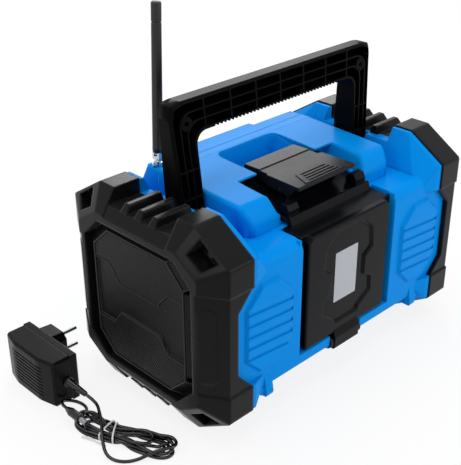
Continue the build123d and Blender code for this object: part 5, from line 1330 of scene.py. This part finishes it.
# ---------------------------------------------------------------- control panel
@dataclass
class ControlPanel:
    """The control panel: display, knob, buttons and jack, with pad-printed signs and ticks in white."""

    # the buttons, each a pitch further along x than the one before; their signs have the same order
    buttons: tuple[str, ...] = ("power", "preset_1", "preset_2", "preset_3", "tune_down", "tune_up")
    panel_y: float = 98.0
    proud: float = 0.06
    root: float = 0.1
    stroke: float = 0.75
    sign_z: float = 104.6
    sign: float = 2.1
    first_x: float = -50.0
    pitch: float = 20.0
    # the power sign's ring, in degrees from its top: where it opens and its steps
    ring_open: int = 35
    ring_step: int = 29
    knob: Spot = (48.0, 132.0)
    tick_radius: Spot = (17.2, 19.2)
    ticks: int = 11
    tick_sweep: float = 270.0

    def build(self) -> None:
        """Dresses the panel's nodes and prints its marks."""
        dress(DOOR_ABS, "control_panel")
        dress(BLACK_ABS, "volume_encoder", "dc_jack", "jack_cover")
        dress(SOFT_TOUCH, "volume_knob", *(f"button_{name}" for name in self.buttons))
        dress(SMOKED_LENS, "display_window")
        dress(DISPLAY_GREY, "display_module")
        dress(BOARD_GREEN, "main_board")
        self.print_marks()

    def signs(self) -> list[list[list[Spot]]]:
        """Gives each button's sign, seen from the front: across to the right, and up.

        Returns:
            For each button, its strokes as lines of points in units of half a sign.
        """
        turns = [math.radians(t) for t in range(self.ring_open, 361 - self.ring_open, self.ring_step)]
        ring = [(math.sin(t), math.cos(t)) for t in turns]
        one = [(-0.4, 0.6), (0.1, 1), (0.1, -1)]
        two = [(-0.6, 0.6), (-0.2, 1), (0.3, 1), (0.6, 0.6), (0.6, 0.25), (-0.6, -1), (0.65, -1)]
        three = [
            (-0.6, 1), (0.6, 1), (0.05, 0.2), (0.4, 0.1), (0.6, -0.4), (0.3, -0.95), (-0.3, -1), (-0.6, -0.7),
        ]
        down = [(-0.9, 0.6), (0, -0.7), (0.9, 0.6), (-0.9, 0.6)]
        up = [(x, -z) for x, z in down]
        return [[ring, [(0, 1.15), (0, 0.1)]], [one], [two], [three], [down], [up]]

    def add_stroke(self, form: bmesh.types.BMesh, start: Spot, stop: Spot) -> None:
        """Adds one stroke as a thin bar.

        Args:
            form: The form it goes into.
            start: Its first end, x and z in millimetres.
            stop: Its other end.
        """
        a, b = Vector(start), Vector(stop)
        along = (b - a).normalized() * self.stroke / 2
        side = Vector((-along.y, along.x))
        flat = [a - along - side, b + along - side, b + along + side, a - along + side]
        depths = (self.panel_y - self.root, self.panel_y + self.proud)
        add_slab(form, *([(spot.x, y, spot.y) for spot in flat] for y in depths))

    def print_marks(self) -> None:
        """Prints the signs over the buttons and the ticks round the knob."""
        form = bmesh.new()
        for k, strokes in enumerate(self.signs()):
            middle = self.first_x + k * self.pitch
            for line in strokes:
                spots = [(middle - x * self.sign, self.sign_z + z * self.sign) for x, z in line]
                for start, stop in zip(spots, spots[1:]):
                    self.add_stroke(form, start, stop)
        x, z = self.knob
        for k in range(self.ticks):
            turn = math.radians(90 + self.tick_sweep * (k / (self.ticks - 1) - 0.5))
            ends = [(x + r * math.cos(turn), z + r * math.sin(turn)) for r in self.tick_radius]
            self.add_stroke(form, *ends)
        enter("panel_marks", close_form("panel_marks", form), PRINT_WHITE, "control_panel")


# ---------------------------------------------------------------- housing
@dataclass
class Saddle:
    """The housing's raised top: a level plate round the tray, with a blunt nose each side of the door."""

    front_y: float = 45.0
    front_z: float = 204.22
    fall: float = 0.042
    half: float = 103.15
    tray_half: float = 41.5
    tray_front_y: float = 42.3
    tray_corner: float = 9.3
    notch_y: float = -15.0
    tray_z: float = 198.0
    lip: float = 1.7
    # where the lip's underside runs in to the wall behind the door's top edge: y and z
    root: Spot = (-1.2, 192.2)
    wall: Spot = (-0.2, 189.0)
    nose_inner: float = 66.6
    nose_y: float = -54.0
    nose_end: tuple[Place, Place] = ((60.6, -63.0, 182.0), (96.5, -64.0, 186.0))
    foot_z: float = 171.8
    foot_inner: float = 57.6
    corner_parts: int = 5
    # how far inside the nose's inner side its end, its lip and the lip's root lie
    nose_taper: float = 0.1
    lip_inset: float = 0.5
    root_inset: float = 2.9
    # the nose's rounding: size and steps, and which edges get it, by distance and least angle
    edge: float = 4.0
    steps: int = 5
    clear: float = 1.0
    least_angle: float = 0.3

    def top(self, x: float, y: float) -> Place:
        """Gives the place on the level top above x and y."""
        return (x, y, self.front_z - self.fall * (self.front_y - y))

    def faces(self) -> list[list[Place]]:
        """Gives the right half's faces.

        Returns:
            Lists of corners in millimetres.
        """
        tray, foot = self.tray_half, self.foot_z
        rim = [(0.0, self.tray_front_y)]
        for k in range(self.corner_parts + 1):
            turn = math.pi / 2 * (1 - k / self.corner_parts)
            x = tray - self.tray_corner * (1 - math.cos(turn))
            rim.append((x, self.tray_front_y - self.tray_corner * (1 - math.sin(turn))))
        high = [self.top(*spot) for spot in rim]
        low = [(*spot, self.tray_z) for spot in rim]
        notch = self.top(tray, self.notch_y)
        notch_out = self.top(self.nose_inner, self.notch_y)
        nose_in = self.top(self.nose_inner - self.nose_taper, self.nose_y)
        nose_out = self.top(self.half, self.nose_y)
        front_out = self.top(self.half, self.front_y)
        front_mid = self.top(0.0, self.front_y)
        lip_z = notch[2] - self.lip
        lip_in, lip_out = ((x, self.notch_y, lip_z) for x in (tray, self.nose_inner - self.lip_inset))
        root_in, root_out = ((x, *self.root) for x in (tray, self.nose_inner - self.root_inset))
        wall_in = (tray, *self.wall)
        end_in, end_out = self.nose_end
        foot_back = (self.foot_inner, self.wall[0], foot)
        foot_in = (self.foot_inner, end_in[1], foot)
        foot_out = (end_out[0], end_out[1], foot)
        foot_side = (self.half, self.nose_y, foot)
        foot_front = (self.half, self.front_y, foot)
        deep_front = (0.0, self.front_y, self.tray_z)
        faces = [
            [*high, notch, notch_out, nose_in, nose_out, front_out, front_mid],
            [high[-1], notch, lip_in, root_in, wall_in, low[-1]],
            [notch, notch_out, lip_out, lip_in],
            [lip_in, lip_out, root_out, root_in],
            [root_in, root_out, foot_back, wall_in],
            [notch_out, nose_in, end_in, foot_in, foot_back, root_out, lip_out],
            [nose_in, nose_out, end_out, end_in],
            [end_in, end_out, foot_out, foot_in],
            [nose_out, foot_side, foot_out, end_out],
            [nose_out, front_out, foot_front, foot_side],
            [front_mid, front_out, foot_front, deep_front],
            [foot_front, foot_side, foot_out, foot_in, foot_back],
            [foot_front, foot_back, wall_in, *reversed(low), deep_front],
        ]
        faces += [[high[k], high[k + 1], low[k + 1], low[k]] for k in range(len(high) - 1)]
        return faces

    def is_soft(self, line: bmesh.types.BMEdge) -> bool:
        """Tells whether an edge is one of the nose's, which are rounded.

        Args:
            line: An edge of the right half.

        Returns:
            Whether it lies behind the notch, outside the foot and above the nose's end, and isn't flat.
        """
        a, b = (vert.co / MM for vert in line.verts)
        behind = min(a.y, b.y) < self.notch_y - self.clear and min(a.x, b.x) > self.foot_inner + self.clear
        above = max(a.z, b.z) > self.nose_end[0][2] - self.clear
        return behind and above and line.calc_face_angle(0) > self.least_angle

    def build(self) -> None:
        """Makes the plate, rounds its noses' edges and mirrors it."""
        form = bmesh.new()
        corners: dict[Place, bmesh.types.BMVert] = {}
        for face in self.faces():
            verts = []
            for spot in face:
                key = tuple(round(v, 3) for v in spot)
                if key not in corners:
                    corners[key] = form.verts.new(Vector(key) * MM)
                verts.append(corners[key])
            form.faces.new(verts)
        bmesh.ops.recalc_face_normals(form, faces=form.faces)
        soft = [line for line in form.edges if self.is_soft(line)]
        rounded = bmesh.ops.bevel(
            form,
            geom=soft,
            offset=self.edge * MM,
            offset_type="OFFSET",
            segments=self.steps,
            profile=0.5,
            affect="EDGES",
            clamp_overlap=False,
        )
        LOG.info("rounded %d edges of the saddle into %d faces", len(soft), len(rounded["faces"]))
        for face in rounded["faces"]:
            face.smooth = True
        twin = bmesh.ops.duplicate(form, geom=form.verts[:] + form.edges[:] + form.faces[:])["geom"]
        verts = [part for part in twin if isinstance(part, bmesh.types.BMVert)]
        bmesh.ops.scale(form, vec=(-1, 1, 1), verts=verts)
        bmesh.ops.remove_doubles(form, verts=form.verts, dist=MERGE_MM * MM)
        enter("saddle_plate", close_form("saddle_plate", form), BLUE_ABS, "housing_rear")


@dataclass
class Housing:
    """The blue housing: its two shells and the saddle over them."""

    saddle: Saddle = field(default_factory=Saddle)

    def build(self) -> None:
        """Dresses the shells and makes the saddle."""
        dress(BLUE_ABS, "housing_rear", "housing_front")
        self.saddle.build()


# ---------------------------------------------------------------- handle
@dataclass
class Handle:
    """The carrying handle: its bow spreads towards the bar, and its outer corners are tight."""

    foot_z: float = 190.0
    top_z: float = 288.0
    half: float = 130.0
    corner: float = 14.0
    spread: float = 7.0
    rise: float = 1.5
    squareness: float = 0.6

    def build(self) -> None:
        """Dresses the screws and makes the bow."""
        dress(SCREW_ZINC, "handle_screws")
        mesh = copy_form("handle")
        spots = places_of(mesh)
        # tighten the outer corners
        x = np.abs(spots[:, 0]) - (self.half - self.corner)
        z = spots[:, 2] - (self.top_z - self.corner)
        far = np.hypot(x, z)
        inside = (x > 0) & (z > 0) & (far > 1e-6)
        most = np.maximum(x, z)[inside] / far[inside]
        grow = most ** -self.squareness
        sign = np.sign(spots[inside, 0])
        spots[inside, 0] = sign * (self.half - self.corner + x[inside] * grow)
        spots[inside, 2] = self.top_z - self.corner + z[inside] * grow
        # spread the bow towards its bar
        share = np.clip((spots[:, 2] - self.foot_z) / (self.top_z - self.foot_z), 0, 1)
        spots[:, 0] *= 1 + self.spread / self.half * share
        spots[:, 2] += self.rise * share
        set_places(mesh, spots)
        enter("handle_bow", mesh, BLACK_ABS, "handle", ("handle",))


# ---------------------------------------------------------------- antenna
@dataclass
class Antenna:
    """The flexible antenna: a straight rubber sleeve with a stepped tip over a bright knuckle."""

    foot: Place = (-97.0, 62.0, 211.0)
    lean: float = 2.2
    # the sleeve's section from foot to tip, as radius and height over the hinge
    profile: tuple[Spot, ...] = (
        (4.4, 6.0), (4.9, 6.8), (4.9, 9.0), (5.05, 9.4), (5.05, 10.6), (4.9, 11.0), (4.95, 60.0),
        (4.75, 128.0), (4.75, 128.6), (4.35, 129.0), (4.35, 129.8), (4.8, 130.2), (4.8, 145.6), (4.4, 147.2),
        (3.2, 147.9), (0.0, 148.1),
    )
    sides: int = 40
    sharp_angle: float = 35.0
    fork_radius: float = 2.6
    fork_top: float = 6.2
    fork_reach: Spot = (2.35, 4.62)
    fork_parts: int = 10

    def lean_out(self, place: Place) -> Place:
        """Carries a place from the antenna's own upright frame to where it leans."""
        return tuple(Matrix.Rotation(math.radians(self.lean), 3, "Y") @ Vector(place) + Vector(self.foot))

    def fork(self) -> None:
        """Makes the bright fork that straddles the knuckle's tongue."""
        form = bmesh.new()
        turns = [math.pi * (1 + k / self.fork_parts) for k in range(self.fork_parts + 1)]
        outline = [(self.fork_radius * math.cos(t), self.fork_radius * math.sin(t)) for t in turns]
        outline += [(self.fork_radius, self.fork_top), (-self.fork_radius, self.fork_top)]
        for side in (-1, 1):
            flats = ([self.lean_out((x, side * reach, z)) for x, z in outline] for reach in self.fork_reach)
            add_slab(form, *flats)
        enter("antenna_fork", close_form("antenna_fork", form), CHROME, "antenna_mast")

    def build(self) -> None:
        """Dresses socket, knuckle and pin, and makes fork and sleeve."""
        dress(CHROME, "antenna_socket", "antenna_knuckle")
        dress(SCREW_ZINC, "antenna_hinge_pin")
        self.fork()
        self.sleeve()

    def sleeve(self) -> None:
        """Turns the sleeve about its leaning axis."""
        form = bmesh.new()
        rings = []
        for radius, height in self.profile:
            ring = []
            for k in range(self.sides if radius else 1):
                turn = 2 * math.pi * k / self.sides
                place = self.lean_out((radius * math.cos(turn), radius * math.sin(turn), height))
                ring.append(form.verts.new(Vector(place) * MM))
            rings.append(ring)
        for low, high in zip(rings, rings[1:]):
            for k in range(self.sides):
                n = (k + 1) % self.sides
                if len(high) == 1:
                    form.faces.new((low[k], low[n], high[0]))
                else:
                    form.faces.new((low[k], low[n], high[n], high[k]))
        form.faces.new(list(reversed(rings[0])))
        for face in form.faces:
            face.smooth = len(face.verts) == 4
        mesh = close_form("antenna_sleeve", form, False)
        mesh.set_sharp_from_angle(angle=math.radians(self.sharp_angle))
        enter("antenna_sleeve", mesh, SLEEVE, "antenna_mast", ("antenna_mast", "antenna_cap"))


# ---------------------------------------------------------------- studio
def straight_rays(tree: bpy.types.NodeTree) -> bpy.types.NodeSocket:
    """Picks the rays that show the background: the lens's own, and those in gloss and glass.

    Args:
        tree: A shader tree.

    Returns:
        A socket that is 1 for such a ray and 0 for any other.
    """
    path = add_node(tree, "ShaderNodeLightPath")
    seen = path.outputs["Is Camera Ray"]
    for ray in ("Is Glossy Ray", "Is Transmission Ray"):
        both = {0: seen, 1: path.outputs[ray]}
        seen = add_node(tree, "ShaderNodeMath", None, both, operation="MAXIMUM").outputs[0]
    return seen


@dataclass(frozen=True)
class SoftBox:
    """A square soft lamp: its name, place and size in metres, and power in watts."""

    name: str
    eye: Place
    size: float
    power: float


@dataclass
class Studio:
    """Pale floor, soft lights and the camera."""

    # the camera: millimetres, degrees, and the lens and its middle in pixels of its frame
    eye: Place = (-612.7, -562.3, 558.6)
    azimuth: float = -44.49
    elevation: float = 27.89
    roll: float = -0.155
    focal_px: float = 924.0
    frame_px: tuple[int, int] = (461, 465)
    centre_px: Spot = (231.4, 231.7)
    sensor_mm: float = 36.0
    # floor and lamps: metres, and shares of white
    floor_half: float = 6.0
    floor_grey: float = 0.9
    floor_roughness: float = 0.7
    floor_specular: float = 0.1
    paper_white: float = 0.84
    surround: float = 0.64
    aim: Place = (0.0, 0.0, 0.1)
    boxes: tuple[SoftBox, ...] = (
        SoftBox("top_box", (-0.1, 0.2, 1.5), 1.2, 9.0),
        SoftBox("back_box", (1.0, 1.1, 0.95), 0.7, 8.0),
        SoftBox("door_box", (0.7, -1.5, 0.9), 0.8, 8.0),
        SoftBox("speaker_box", (-1.5, 0.1, 0.8), 0.4, 2.5),
    )

    def place_camera(self) -> None:
        """Makes the camera and gives it to the scene."""
        width, height = self.frame_px
        side = max(width, height)
        data = bpy.data.cameras.new("camera")
        data.sensor_width = self.sensor_mm
        data.lens = self.focal_px * self.sensor_mm / side
        data.shift_x = (width / 2 - self.centre_px[0]) / side
        data.shift_y = (self.centre_px[1] - height / 2) / side
        camera = bpy.data.objects.new("camera", data)
        bpy.context.scene.collection.objects.link(camera)
        az, el = math.radians(self.azimuth), math.radians(self.elevation)
        ahead = Vector((-math.sin(az) * math.cos(el), math.cos(az) * math.cos(el), -math.sin(el)))
        turn = ahead.to_track_quat("-Z", "Y").to_matrix().to_4x4()
        tilt = Matrix.Rotation(math.radians(self.roll), 4, "Z")
        camera.matrix_world = Matrix.Translation(Vector(self.eye) * MM) @ turn @ tilt
        bpy.context.scene.camera = camera

    def place_floor(self) -> None:
        """Lays the pale floor."""
        mesh = bpy.data.meshes.new("floor")
        half = self.floor_half
        corners = [(-half, -half, 0), (half, -half, 0), (half, half, 0), (-half, half, 0)]
        mesh.from_pydata(corners, [], [(0, 1, 2, 3)])
        floor = bpy.data.objects.new("floor", mesh)
        bpy.context.scene.collection.objects.link(floor)
        material = bpy.data.materials.new("floor_paper")
        material.use_nodes = True
        tree = material.node_tree
        shader = tree.nodes["Principled BSDF"]
        shader.inputs["Base Color"].default_value = (self.floor_grey,) * 3 + (1.0,)
        shader.inputs["Roughness"].default_value = self.floor_roughness
        shader.inputs["Specular IOR Level"].default_value = self.floor_specular
        # mostly white paper, with the object's shadow showing through it
        seen = {0: straight_rays(tree)}
        share = add_node(tree, "ShaderNodeMath", {1: self.paper_white}, seen, operation="MULTIPLY")
        white = add_node(tree, "ShaderNodeEmission", {"Color": (1, 1, 1, 1), "Strength": 1.0})
        both = {0: share.outputs[0], 1: shader.outputs[0], 2: white.outputs[0]}
        mix = add_node(tree, "ShaderNodeMixShader", None, both)
        tree.links.new(mix.outputs[0], tree.nodes["Material Output"].inputs["Surface"])
        mesh.materials.append(material)

    def place_lights(self) -> None:
        """Hangs the soft boxes and sets the surroundings."""
        world = bpy.data.worlds.new("studio")
        world.use_nodes = True
        tree = world.node_tree
        tree.nodes.clear()
        # the room lights the object a little dimly, and shows as plain white
        dim = add_node(
            tree, "ShaderNodeBackground", {"Color": (1, 1, 1, 1), "Strength": self.surround}
        )
        bright = add_node(tree, "ShaderNodeBackground", {"Color": (1, 1, 1, 1), "Strength": 1.0})
        both = {0: straight_rays(tree), 1: dim.outputs[0], 2: bright.outputs[0]}
        mix = add_node(tree, "ShaderNodeMixShader", None, both)
        add_node(tree, "ShaderNodeOutputWorld", None, {"Surface": mix.outputs[0]})
        bpy.context.scene.world = world
        for box in self.boxes:
            data = bpy.data.lights.new(box.name, "AREA")
            data.size = box.size
            data.energy = box.power
            lamp = bpy.data.objects.new(box.name, data)
            bpy.context.scene.collection.objects.link(lamp)
            turn = (Vector(self.aim) - Vector(box.eye)).to_track_quat("-Z", "Y").to_matrix().to_4x4()
            lamp.matrix_world = Matrix.Translation(box.eye) @ turn


def main() -> None:
    """Builds every sub-assembly in order."""
    logging.basicConfig(level=logging.INFO, format="%(message)s")
    bpy.context.scene.view_settings.view_transform = "Standard"
    studio = Studio()
    studio.place_camera()
    Adaptor().build()
    studio.place_floor()
    studio.place_lights()
    for side in Side:
        SpeakerEnd(side).build()
    BatteryBay().build()
    BatteryDoor().build()
    ControlPanel().build()
    Housing().build()
    Handle().build()
    Antenna().build()


if __name__ == "__main__":
    main()
